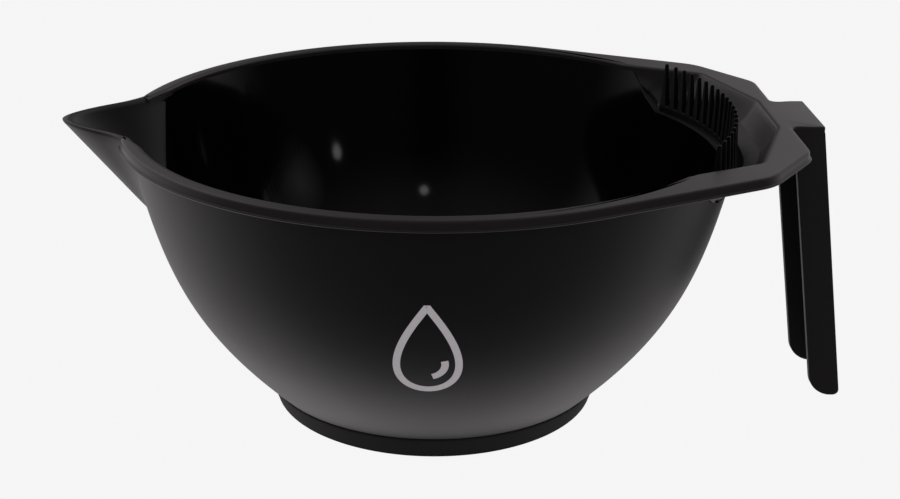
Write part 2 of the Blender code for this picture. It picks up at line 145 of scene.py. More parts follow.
class NodeBoard:
    """The node tree of a material or of the world."""

    def __init__(self, owner: bpy.types.ID) -> None:
        """Take over the owner's tree and empty it."""
        owner.use_nodes = True
        self.tree = owner.node_tree
        self.tree.nodes.clear()

    def add(
        self,
        kind: str,
        settings: Dict[str, object],
        inputs: Dict[object, object],
        output: object = 0,
    ) -> Signal:
        """Add one node.

        Args:
            kind: The node's type.
            settings: Properties set first.
            inputs: Values or links by socket name or index.
            output: Name or index of the socket that is returned.

        Returns:
            The chosen output.
        """
        node = self.tree.nodes.new(kind)
        for name, value in settings.items():
            setattr(node, name, value)
        for name, value in inputs.items():
            if isinstance(value, Signal):
                self.tree.links.new(value.socket, node.inputs[name])
            else:
                node.inputs[name].default_value = value
        return Signal(self, node.outputs[output])

    def place(self) -> Signal:
        """Return the object coordinates."""
        return self.add("ShaderNodeTexCoord", {}, {}, "Object")

    def ramp(self, value: Signal, low: float, high: float, bottom: float, top: float) -> Signal:
        """Return a value mapped smoothly from one range to another, held at its ends.

        Args:
            value: What is mapped.
            low: Start of the range that is read.
            high: End of the range that is read.
            bottom: Result at the start.
            top: Result at the end.

        Returns:
            The mapped value.
        """
        settings = {"interpolation_type": "SMOOTHSTEP", "clamp": True}
        inputs = {0: value, 1: low, 2: high, 3: bottom, 4: top}
        return self.add("ShaderNodeMapRange", settings, inputs)

    def noise(self, place: Signal, size: float, detail: float) -> Signal:
        """Return a noise value.

        Args:
            place: Coordinates that are read.
            size: Width of one blotch in metres.
            detail: Octaves.

        Returns:
            The value, about NOISE_MIDDLE.
        """
        inputs = {"Vector": place, "Scale": 1.0 / size, "Detail": detail}
        inputs["Roughness"] = NOISE_ROUGHNESS
        return self.add("ShaderNodeTexNoise", {}, inputs, "Fac")

    def blend(self, mask: Signal, low: Colour, high: Colour) -> Signal:
        """Return a colour between two, by a mask."""
        inputs = {"Factor": mask, 6: (*low, 1.0), 7: (*high, 1.0)}
        return self.add("ShaderNodeMix", {"data_type": "RGBA"}, inputs, 2)

    def bump(self, height: Signal) -> Signal:
        """Return a normal pushed by a height in metres."""
        inputs = {"Height": height, "Distance": 1.0, "Strength": 1.0}
        return self.add("ShaderNodeBump", {}, inputs)

    def surface(self, fixed: Dict[str, object], links: Dict[str, Signal]) -> None:
        """Add the Principled shader and the material's output."""
        shader = self.add("ShaderNodeBsdfPrincipled", {}, {**fixed, **links})
        self.add_output(shader)

    def add_output(self, shader: Signal, kind: str = "ShaderNodeOutputMaterial") -> None:
        """Join a shader to the tree's output."""
        node = self.tree.nodes.new(kind)
        self.tree.links.new(shader.socket, node.inputs["Surface"])


@dataclass(frozen=True)
class MouldedFinish:
    """Black moulded plastic or rubber, with faint cloudiness and a fine grain.

    The base colour runs between dark and light, and the roughness varies by spread. Grain and wave
    are the widths of the fine and the broad unevenness in metres, each with its own depth.
    """

    name: str
    dark: Colour
    light: Colour
    roughness: float
    spread: float
    grain: float
    grain_depth: float
    wave: float
    wave_depth: float
    specular: float

    def make(self) -> bpy.types.Material:
        """Return the material."""
        material = bpy.data.materials.new(self.name)
        board = NodeBoard(material)
        place = board.place()
        cloud = board.noise(place, CLOUD_SIZE, 3.0)
        fine = board.noise(place, self.grain, 2.0)
        swell = board.noise(place, self.wave, 1.0)
        rough = self.roughness + (cloud - NOISE_MIDDLE) * self.spread
        rough = rough + (fine - NOISE_MIDDLE) * (self.spread * FINE_SHARE)
        height = fine * self.grain_depth + swell * self.wave_depth
        board.surface(
            {"Metallic": 0.0, "Specular IOR Level": self.specular},
            {
                "Base Color": board.blend(cloud, self.dark, self.light),
                "Roughness": rough,
                "Normal": board.bump(height),
            },
        )
        return material


@dataclass(frozen=True)
class PrintFinish:
    """Pale ink printed on the plastic, a little uneven in cover."""

    name: str
    ink: Colour
    thin: Colour
    roughness: float
    spread: float = 0.1
    blotch: float = 0.9 * MM
    specular: float = 0.3

    def make(self) -> bpy.types.Material:
        """Return the material."""
        material = bpy.data.materials.new(self.name)
        board = NodeBoard(material)
        cover = board.noise(board.place(), self.blotch, 3.0)
        links = {"Base Color": board.blend(cover, self.thin, self.ink)}
        links["Roughness"] = self.roughness + (cover - NOISE_MIDDLE) * self.spread
        board.surface({"Specular IOR Level": self.specular}, links)
        return material


SATIN_OUTSIDE = MouldedFinish(
    "satin_outside", (0.0050, 0.0042, 0.0047), (0.0064, 0.0054, 0.0060), 0.44, 0.06,
    0.35 * MM, 0.0022 * MM, 30 * MM, 0.06 * MM, 0.42,
)
GLOSS_INSIDE = MouldedFinish(
    "gloss_inside", (0.0008, 0.0007, 0.0007), (0.0013, 0.0012, 0.0012), 0.075, 0.02,
    0.6 * MM, 0.0004 * MM, 24 * MM, 0.03 * MM, 0.45,
)
RIM_SATIN = MouldedFinish(
    "rim_satin", (0.0102, 0.0088, 0.0097), (0.0126, 0.0109, 0.0120), 0.36, 0.06,
    0.35 * MM, 0.0018 * MM, 26 * MM, 0.05 * MM, 0.4,
)
FOOT_MATT = MouldedFinish(
    "foot_matt", (0.0078, 0.0070, 0.0078), (0.0102, 0.0092, 0.0102), 0.72, 0.10,
    0.28 * MM, 0.010 * MM, 12 * MM, 0.05 * MM, 0.25,
)
HANDLE_SATIN = MouldedFinish(
    "handle_satin", (0.0100, 0.0088, 0.0098), (0.0124, 0.0108, 0.0120), 0.46, 0.06,
    0.35 * MM, 0.0022 * MM, 30 * MM, 0.06 * MM, 0.40,
)
COMB_DARK = MouldedFinish(
    "comb_dark", (0.0020, 0.0017, 0.0019), (0.0030, 0.0026, 0.0028), 0.34, 0.06,
    0.35 * MM, 0.0012 * MM, 26 * MM, 0.04 * MM, 0.14,
)
# Painted shade: a dull black with almost no reflection, for the rest's low part behind the comb,
# where shade falls.
REST_PAINTED_SHADE = MouldedFinish(
    "rest_painted_shade", (0.0016, 0.0013, 0.0015), (0.0026, 0.0022, 0.0024), 0.5, 0.08,
    0.35 * MM, 0.0020 * MM, 26 * MM, 0.05 * MM, 0.01,
)
PALE_PRINT = PrintFinish("pale_print", (0.47, 0.46, 0.47), (0.40, 0.39, 0.40), 0.55)


# ---------------------------------------------------------------- modelling helpers


class Bench:
    """Edit-mode modelling steps, each on one object."""

    @staticmethod
    def clear() -> None:
        """Leave edit mode and deselect everything."""
        if bpy.context.object and bpy.context.object.mode != "OBJECT":
            bpy.ops.object.mode_set(mode="OBJECT")
        bpy.ops.object.select_all(action="DESELECT")

    @staticmethod
    def take(item: bpy.types.Object) -> None:
        """Select one object alone and make it active."""
        Bench.clear()
        item.select_set(True)
        bpy.context.view_layer.objects.active = item

    @staticmethod
    def edit(item: bpy.types.Object, mode: str) -> None:
        """Open one object in edit mode with nothing selected.

        Args:
            item: The object.
            mode: VERT, EDGE or FACE.
        """
        Bench.take(item)
        bpy.ops.object.mode_set(mode="EDIT")
        bpy.ops.mesh.select_mode(type=mode)
        bpy.ops.mesh.select_all(action="DESELECT")

    @staticmethod
    def pick(item: bpy.types.Object, kind: str, test: Callable[[object], bool]) -> int:
        """Select verts, edges or faces of the edited mesh by a test.

        Args:
            item: The edited object.
            kind: verts, edges or faces.
            test: Says whether an element is taken.

        Returns:
            How many were taken.
        """
        work = bmesh.from_edit_mesh(item.data)
        count = 0
        for element in getattr(work, kind):
            if test(element):
                element.select_set(True)
                count += 1
        work.select_flush_mode()
        bmesh.update_edit_mesh(item.data)
        return count

    @staticmethod
    def settle(item: bpy.types.Object, name: str) -> bpy.types.Object:
        """Name an object and move its place into its mesh."""
        Bench.take(item)
        item.name = name
        item.data.name = name
        bpy.ops.object.transform_apply(location=True, rotation=True, scale=True)
        return item

    @staticmethod
    def face_out(item: bpy.types.Object) -> None:
        """Merge doubles and turn all faces outwards."""
        Bench.edit(item, "VERT")
        bpy.ops.mesh.select_all(action="SELECT")
        bpy.ops.mesh.remove_doubles(threshold=WELD)
        bpy.ops.mesh.normals_make_consistent(inside=False)
        bpy.ops.object.mode_set(mode="OBJECT")

    @staticmethod
    def carve(item: bpy.types.Object, tool: bpy.types.Object, operation: str) -> None:
        """Apply a boolean and remove the tool.

        Args:
            item: The object that is changed.
            tool: The other solid.
            operation: DIFFERENCE, UNION or INTERSECT.
        """
        Bench.take(item)
        step = item.modifiers.new("carve", "BOOLEAN")
        step.solver = "EXACT"
        step.operation = operation
        step.object = tool
        step.material_mode = "TRANSFER"
        bpy.ops.object.modifier_apply(modifier=step.name)
        bpy.data.objects.remove(tool, do_unlink=True)

    @staticmethod
    def smooth(item: bpy.types.Object, angle: float) -> None:
        """Shade smooth below an angle in degrees."""
        Bench.take(item)
        bpy.ops.object.shade_smooth_by_angle(angle=math.radians(angle))

    @staticmethod
    def dress(item: bpy.types.Object, *materials: bpy.types.Material) -> None:
        """Give an object its material slots."""
        item.data.materials.clear()
        for material in materials:
            item.data.materials.append(material)


def polar(radius: float, degrees: float) -> Point2:
    """Return the plan point at a radius and angle round the bowl's axis, in frame coordinates."""
    angle = math.radians(degrees)
    return AXIS_X + radius * math.cos(angle), radius * math.sin(angle)


def ease(share: float) -> float:
    """Return a share from 0 to 1 eased at both ends."""
    return share * share * (3.0 - 2.0 * share)


def round_off(start: Vector, corner: Vector, end: Vector, t: float) -> Vector:
    """Return the point at share t of a curve from a start to an end, drawn towards a corner.

    Args:
        start: Where the curve starts.
        corner: What draws it aside.
        end: Where it ends.
        t: Share of the way, from 0 to 1.

    Returns:
        The point.
    """
    return start * (1 - t) ** 2 + corner * 2 * t * (1 - t) + end * t * t


def lift_off(name: str, work: bmesh.types.BMesh) -> bpy.types.Object:
    """Return a new object with a worked mesh, which is freed."""
    mesh = bpy.data.meshes.new(name)
    work.to_mesh(mesh)
    work.free()
    item = bpy.data.objects.new(name, mesh)
    bpy.context.scene.collection.objects.link(item)
    return item


def turn(name: str, profile: Sequence[Point2], sides: int, ring: bool) -> bpy.types.Object:
    """Turn a profile about the bowl's axis, by widening and raising a circle of edges.

    Args:
        name: The object's name.
        profile: Points of (radius, z) in the order that they are extruded.
        sides: Number of flats.
        ring: True closes the last circle to the first, False closes both with a pole.

    Returns:
        A closed solid.
    """
    Bench.clear()
    radius, height = profile[0]
    fill = "NOTHING" if ring else "TRIFAN"
    bpy.ops.mesh.primitive_circle_add(
        vertices=sides, radius=radius, fill_type=fill, location=(AXIS_X, 0.0, height)
    )
    item = bpy.context.object
    Bench.edit(item, "EDGE")
    Bench.pick(item, "edges", lambda e: len(e.link_faces) < 2)
    for (r_from, z_from), (r_to, z_to) in zip(profile, profile[1:]):
        lift = {"value": (0.0, 0.0, z_to - z_from)}
        bpy.ops.mesh.extrude_edges_move(TRANSFORM_OT_translate=lift)
        scale = r_to / r_from
        centre = (AXIS_X, 0.0, z_to)
        bpy.ops.transform.resize(value=(scale, scale, 1.0), center_override=centre)
    if ring:
        bpy.ops.mesh.select_all(action="DESELECT")
        Bench.pick(item, "edges", lambda e: len(e.link_faces) == 1)
        bpy.ops.mesh.bridge_edge_loops()
    else:
        bpy.ops.mesh.merge(type="CENTER")
    bpy.ops.object.mode_set(mode="OBJECT")
    Bench.settle(item, name)
    Bench.face_out(item)
    return item


def skin(name: str, loops: Sequence[Sequence[Vector]]) -> bpy.types.Object:
    """Join a row of equal closed loops into one solid with closed ends.

    Args:
        name: The object's name.
        loops: Loops of points, all with the same count.

    Returns:
        The closed solid.
    """
    work = bmesh.new()
    rings = [[work.verts.new(point) for point in loop] for loop in loops]
    for lower, upper in zip(rings, rings[1:]):
        for i in range(len(lower)):
            j = (i + 1) % len(lower)
            work.faces.new((lower[i], lower[j], upper[j], upper[i]))
    work.faces.new(rings[0])
    work.faces.new(rings[-1])
    item = lift_off(name, work)
    Bench.face_out(item)
    return item


def arc(centre: Point2, radius: float, start: float, end: float, steps: int) -> List[Point2]:
    """Return points of an arc from a start to an end angle in degrees.

    Args:
        centre: Middle of the circle.
        radius: Its radius.
        start: First angle.
        end: Last angle.
        steps: How many equal steps lie between them.

    Returns:
        The points, both ends included.
    """
    points = []
    for i in range(steps + 1):
        angle = math.radians(start + (end - start) * i / steps)
        across, up = radius * math.cos(angle), radius * math.sin(angle)
        points.append((centre[0] + across, centre[1] + up))
    return points


def finish_piece(piece: bpy.types.Object, slot: Slot, *nodes: str) -> None:
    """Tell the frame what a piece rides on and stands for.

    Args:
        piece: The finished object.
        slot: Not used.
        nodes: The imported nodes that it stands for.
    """
    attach(piece, "root")
    if nodes:
        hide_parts(*nodes)
    purpose = ", ".join(nodes) or "detail"
    LOG.info("%s: %d faces, for %s", piece.name, len(piece.data.polygons), purpose)


# ---------------------------------------------------------------- bowl body


@dataclass
class BowlForm:
    """The bowl's turned form, shared by the pieces that meet it."""

    wall: float = 2.2 * MM
    top_radius: float = 72.6 * MM
    foot_radius: float = 41.4 * MM
    foot_z: float = 5.6 * MM
    lower_pull: Point2 = (62.8 * MM, 26.6 * MM)
    upper_pull: Point2 = (66.6 * MM, 40.0 * MM)
    steps: int = 44
    sides: int = 240
    slope_step: float = 0.001
    hub: float = 3.0 * MM

    def outer_at(self, t: float) -> Point2:
        """Return the outer profile's point at a share from rim (0) to foot (1)."""
        s = 1.0 - t
        weights = (s ** 3, 3 * s * s * t, 3 * s * t * t, t ** 3)
        points = (
            (self.top_radius, RIM_BOTTOM), self.upper_pull, self.lower_pull,
            (self.foot_radius, self.foot_z),
        )
        radius = sum(w * p[0] for w, p in zip(weights, points))
        return radius, sum(w * p[1] for w, p in zip(weights, points))

    def offset_at(self, t: float, distance: float) -> Point2:
        """Return the profile's point moved inwards by a distance.

        Args:
            t: Share from rim (0) to foot (1).
            distance: How far it is moved.

        Returns:
            The radius and height.
        """
        before = Vector(self.outer_at(max(t - self.slope_step, 0.0)))
        after = Vector(self.outer_at(min(t + self.slope_step, 1.0)))
        run = (after - before).normalized()
        radius, z = self.outer_at(t)
        return radius + run.y * distance, z - run.x * distance

    def profile(self, distance: float) -> List[Point2]:
        """Return the falling profile, moved inwards by a distance."""
        return [self.offset_at(i / self.steps, distance) for i in range(self.steps + 1)]

    def radius_at(self, z: float, distance: float) -> float:
        """Return the radius of the moved profile at a height.

        Args:
            z: The height.
            distance: How far the profile is moved inwards.

        Returns:
            The radius, held at both ends of the profile.
        """
        points = self.profile(distance)
        for (r_high, z_high), (r_low, z_low) in zip(points, points[1:]):
            if z_low <= z <= z_high:
                return r_low + (r_high - r_low) * (z - z_low) / (z_high - z_low)
        return points[0][0] if z > points[0][1] else points[-1][0]


@dataclass
class SpoutForm:
    """The spout's wedge, shared by the spout and the opening it needs in the bowl.

    Reaches are from the bowl's axis. The fullness is the power of the width's growth with height,
    the sharpness is the power of the V's curve in plan, and the fillet is the sweep of the sides
    into the bowl's wall.
    """

    form: BowlForm
    keel_reach: float = 68.6 * MM
    wall: float = 2.2 * MM
    fullness: float = 0.45
    channel_fullness: float = 0.36
    outer_sharpness: float = 1.6
    inner_sharpness: float = 2.0
    root: float = 60.0 * MM
    fillet: float = 9.5 * MM
    fillet_share: float = 0.72
    fillet_steps: int = 8
    sink: float = 0.15 * MM
    outer_lip: float = 0.9 * MM
    tip_push: float = 0.7 * MM
    flare_height: float = 1.0 * MM
    flare_width: float = 0.7 * MM
    lip_steps: int = 8
    levels: int = 24
    side_points: int = 20
    keel_inset: float = 1.3
    least_half: float = 0.6 * MM
    least_depth: float = 0.5 * MM
    channel_rise: float = 3.0 * MM
    overshoot: float = 4.0 * MM

    def loop(
        self, z: float, inset: float, sharpness: float, fullness: float, meet: float
    ) -> List[Vector]:
        """Return one level of the wedge: a rounded V whose sides sweep round to the bowl's wall.

        Args:
            z: Height of the level.
            inset: How far the side is moved inwards.
            sharpness: Power of the V's curve in plan.
            fullness: Power of its growth with height; less is fuller low down.
            meet: Radius about the bowl's axis on which the sides end.

        Returns:
            The closed loop of points.
        """
        rise = max((z - SPOUT_KEEL) / (RIM_TOP - SPOUT_KEEL), 0.0)
        tip = SPOUT_TIP + self.tip_push
        reach = self.keel_reach + (tip - self.keel_reach) * rise - self.keel_inset * inset
        half = max(SPOUT_HALF * rise ** fullness - inset, self.least_half)
        shoulder = min(math.sqrt(meet ** 2 - half ** 2), reach - self.least_depth)
        depth = reach - shoulder
        last = self.fillet_share
        side = []
        for i in range(self.side_points + 1):
            across = last * i / self.side_points
            out = shoulder + depth * (1.0 - across ** sharpness)
            side.append(Vector((out, half * across)))
        slope = Vector((-depth * sharpness * last ** (sharpness - 1.0), half))
        start, corner = side[-1], side[-1] + slope * (1.0 - last)
        end_y = half + self.fillet * rise
        end = Vector((math.sqrt(meet ** 2 - end_y ** 2), end_y))
        for i in range(1, self.fillet_steps + 1):
            side.append(round_off(start, corner, end, i / self.fillet_steps))
        side.append(Vector((self.root, end_y)))
        mirrored = [Vector((p.x, -p.y)) for p in reversed(side[1:])]
        return [Vector((AXIS_X - p.x, p.y, z)) for p in mirrored + side]

    def edge_inset(self, z: float, top: float) -> float:
        """Return how far the outer edge's rounding draws the side in at a height."""
        over = max((z - top) / self.outer_lip + 1.0, 0.0)
        return self.outer_lip * (1.0 - math.sqrt(max(1.0 - over * over, 0.0)))

    def flare(self, z: float, top: float) -> float:
        """Return how far the channel has widened at a height."""
        over = max((z - top) / self.flare_height + 1.0, 0.0)
        return self.flare_width * over * over

    def heights(self, low: float, top: float, edge: float) -> List[float]:
        """Return the levels between two heights, closer together near the top.

        Args:
            low: The lowest level.
            top: The highest level.
            edge: Height of the rounded part at the top.

        Returns:
            The rising levels.
        """
        body = top - edge
        levels = [low + (body - low) * i / self.levels for i in range(self.levels + 1)]
        turns = range(1, self.lip_steps + 1)
        return levels + [body + edge * math.sin(math.pi / 2 * i / self.lip_steps) for i in turns]

    def outside(self, top: float) -> bpy.types.Object:
        """Return the spout's outer wedge with a rounded top edge."""
        loops = []
        for z in self.heights(SPOUT_KEEL, top, self.outer_lip):
            meet = self.form.radius_at(z, 0.0) - self.sink
            inset = self.edge_inset(z, top)
            loops.append(self.loop(z, inset, self.outer_sharpness, self.fullness, meet))
        return skin("spout_outside", loops)

    def channel(self, top: float, slack: float) -> bpy.types.Object:
        """Return the channel's solid, flaring out towards the lip.

        Args:
            top: Height of the lip.
            slack: How much wider than the true channel it is.

        Returns:
            The solid, which stands above the lip.
        """
        loops = []
        for z in self.heights(SPOUT_KEEL + self.channel_rise, top, self.flare_height):
            inset = self.wall - slack - self.flare(z, top)
            meet = self.form.radius_at(z, self.form.wall) - self.sink
            fullness = self.channel_fullness
            loops.append(self.loop(z, inset, self.inner_sharpness, fullness, meet))
        over = [point + Vector((0.0, 0.0, self.overshoot)) for point in loops[-1]]
        return skin("spout_channel", [*loops, over])


@dataclass
class BowlBody:
    """The bowl's wall and floor as one turned shell, open at the spout and under the comb."""

    form: BowlForm
    spout: SpoutForm
    floor_top: float = 8.1 * MM
    floor_bottom: float = 5.9 * MM
    top_z: float = 69.8 * MM
    window_half: float = 31.0
    window_top_half: float = 41.0
    window_low: float = 61.3 * MM
    window_inner: float = 58.0 * MM
    window_outer: float = 96.0 * MM
    overshoot: float = 4.0 * MM
    floor_middle: float = 20.0 * MM
    corner_rise: float = 3.2 * MM
    corner_run: float = 7.5 * MM
    corner_pull: float = 3.0 * MM
    corner_steps: int = 9
    top_inside: float = 0.2 * MM
    top_outside: float = 0.6 * MM
    skirt_step: float = 1.0 * MM
    skirt_sink: float = 0.2 * MM
    under_outer: float = 33.0 * MM
    under_inner: float = 31.5 * MM
    channel_slack: float = 0.02 * MM

    def build(self, outside: bpy.types.Material, inside: bpy.types.Material) -> bpy.types.Object:
        """Return the finished shell.

        Args:
            outside: Finish of the outside and underside.
            inside: Finish of the inside.

        Returns:
            The shell.
        """
        rising = self.inside_profile()
        falling = self.outside_profile()
        shell = turn("bowl_shell", rising + falling, self.form.sides, False)
        Bench.dress(shell, inside, outside)
        self.split_sides(shell)
        window = self.window()
        Bench.dress(window, outside)
        Bench.carve(shell, window, "DIFFERENCE")
        channel = self.spout.channel(RIM_TOP, self.channel_slack)
        Bench.dress(channel, inside)
        Bench.carve(shell, channel, "DIFFERENCE")
        Bench.smooth(shell, SHELL_SMOOTH)
        finish_piece(shell, Slot.BLACK_PLASTIC, "bowl_wall", "bowl_floor")
        return shell

    def inside_profile(self) -> List[Point2]:
        """Return the inside from the floor's middle up to the rim."""
        low = self.floor_top + self.corner_rise
        wall = [p for p in reversed(self.form.profile(self.form.wall)) if p[1] > low]
        first_r, first_z = wall[0]
        points = [(self.form.hub, self.floor_top), (self.floor_middle, self.floor_top)]
        start = Vector((first_r - self.corner_run, self.floor_top))
        corner = Vector((first_r - self.corner_pull, self.floor_top))
        end = Vector((first_r, first_z))
        for i in range(self.corner_steps):
            point = round_off(start, corner, end, i / self.corner_steps)
            points.append((point.x, point.y))
        points += wall
        points.append((self.form.top_radius - self.form.wall + self.top_inside, self.top_z))
        return points

    def outside_profile(self) -> List[Point2]:
        """Return the outside from the rim down to the floor's underside."""
        skirt = self.form.foot_z - self.skirt_sink
        points = [(self.form.top_radius - self.top_outside, self.top_z)]
        points += self.form.profile(0.0)
        points.append((self.form.foot_radius - self.skirt_step, skirt))
        points += [(self.under_outer, skirt), (self.under_inner, self.floor_bottom)]
        points.append((self.form.hub, self.floor_bottom))
        return points

    def split_sides(self, shell: bpy.types.Object) -> None:
        """Give the inner faces the first material slot and the outer ones the second."""
        for face in shell.data.polygons:
            x, y, z = face.center
            radius = math.hypot(x - AXIS_X, y)
            middle = self.form.radius_at(z, self.form.wall / 2)
            inner = radius < middle and z > (self.floor_top + self.floor_bottom) / 2
            face.material_index = Side.INSIDE.value if inner else Side.OUTSIDE.value

    def window(self) -> bpy.types.Object:
        """Return the wedge that lowers the wall under the comb, with leaning ends."""
        loops = []
        levels = (
            (self.window_low, self.window_half),
            (RIM_TOP, self.window_top_half),
            (RIM_TOP + self.overshoot, self.window_top_half),
        )
        for z, half in levels:
            turns = (-half, -half / 2, 0.0, half / 2, half)
            near = [polar(self.window_inner, a) for a in turns]
            far = [polar(self.window_outer, a) for a in reversed(turns)]
            loops.append([Vector((x, y, z)) for x, y in near + far])
        return skin("comb_window", loops)


@dataclass
class Spout:
    """The pouring spout: a V-shaped channel with a rounded lip."""

    form: BowlForm
    shape: SpoutForm
    drop: float = 0.05 * MM
    step_radius: float = 72.2 * MM
    step_drop: float = 0.8 * MM
    core_slack: float = 0.03 * MM
    core_depth: float = 12.0 * MM
    core_rise: float = 6.0 * MM
    core_lip: float = 0.05 * MM

    def build(self, finish: bpy.types.Material) -> bpy.types.Object:
        """Return the finished spout."""
        top = RIM_TOP - self.drop
        body = self.shape.outside(top)
        body.name = "pour_spout"
        Bench.carve(body, self.shape.channel(top, 0.0), "DIFFERENCE")
        Bench.carve(body, self.core(), "DIFFERENCE")
        Bench.dress(body, finish)
        Bench.smooth(body, PIECE_SMOOTH)
        finish_piece(body, Slot.BLACK_PLASTIC, "pouring_spout")
        return body

    def core(self) -> bpy.types.Object:
        """Return the bowl's hollow, wider under the rim's ends, which the spout must not enter."""
        points = self.form.profile(self.form.wall - self.core_slack)
        low = [p for p in reversed(points) if p[1] > SPOUT_KEEL - self.core_depth]
        high = RIM_TOP + self.core_rise
        step_z = RIM_TOP - self.step_drop
        low.append((low[-1][0] + self.core_lip, step_z))
        top = [(self.step_radius, step_z), (self.step_radius, high), (self.form.hub, high)]
        return turn("bowl_hollow", [*low, *top], self.form.sides, False)


# ---------------------------------------------------------------- rim, plate and brush rest


@dataclass
class Corner:
    """One corner of the plate's half plan: the outer edge, the inner edge and the rest's low edge.

    A reach is how far along the edges the corner's rounding starts.
    """

    outer: Point2
    outer_reach: float
    inner: Point2
    inner_reach: float
    low: Vector
    foot: Vector

    def points(self) -> List[Vector]:
        """Return the outer, inner, low and foot points in the frame."""
        plan = [Vector((AXIS_X + x, y, 0.0)) for x, y in (self.outer, self.inner)]
        return [*plan, self.low, self.foot]

    def reaches(self) -> List[float]:
        """Return how far from each of the points its rounding starts."""
        return [self.outer_reach, self.inner_reach, self.inner_reach / 2, self.inner_reach / 2]


@dataclass
class Station:
    """One cross-section of the rim and plate.

    The strap is the share of the strap's edge in it, and the end is the share of the rounded end.
    """

    outer: Vector
    inner: Vector
    low: Vector
    foot: Vector
    strap: float
    end: float


def ease_corner(before: Vector, point: Vector, after: Vector, reach: float, t: float) -> Vector:
    """Return the point at share t of a corner's rounding.

    Args:
        before: The corner before it.
        point: The corner itself.
        after: The corner after it.
        reach: How far from the corner the rounding starts.
        t: Share of the way, from 0 to 1.

    Returns:
        The point.
    """
    start = point + (before - point).normalized() * reach
    end = point + (after - point).normalized() * reach
    return round_off(start, point, end, t)


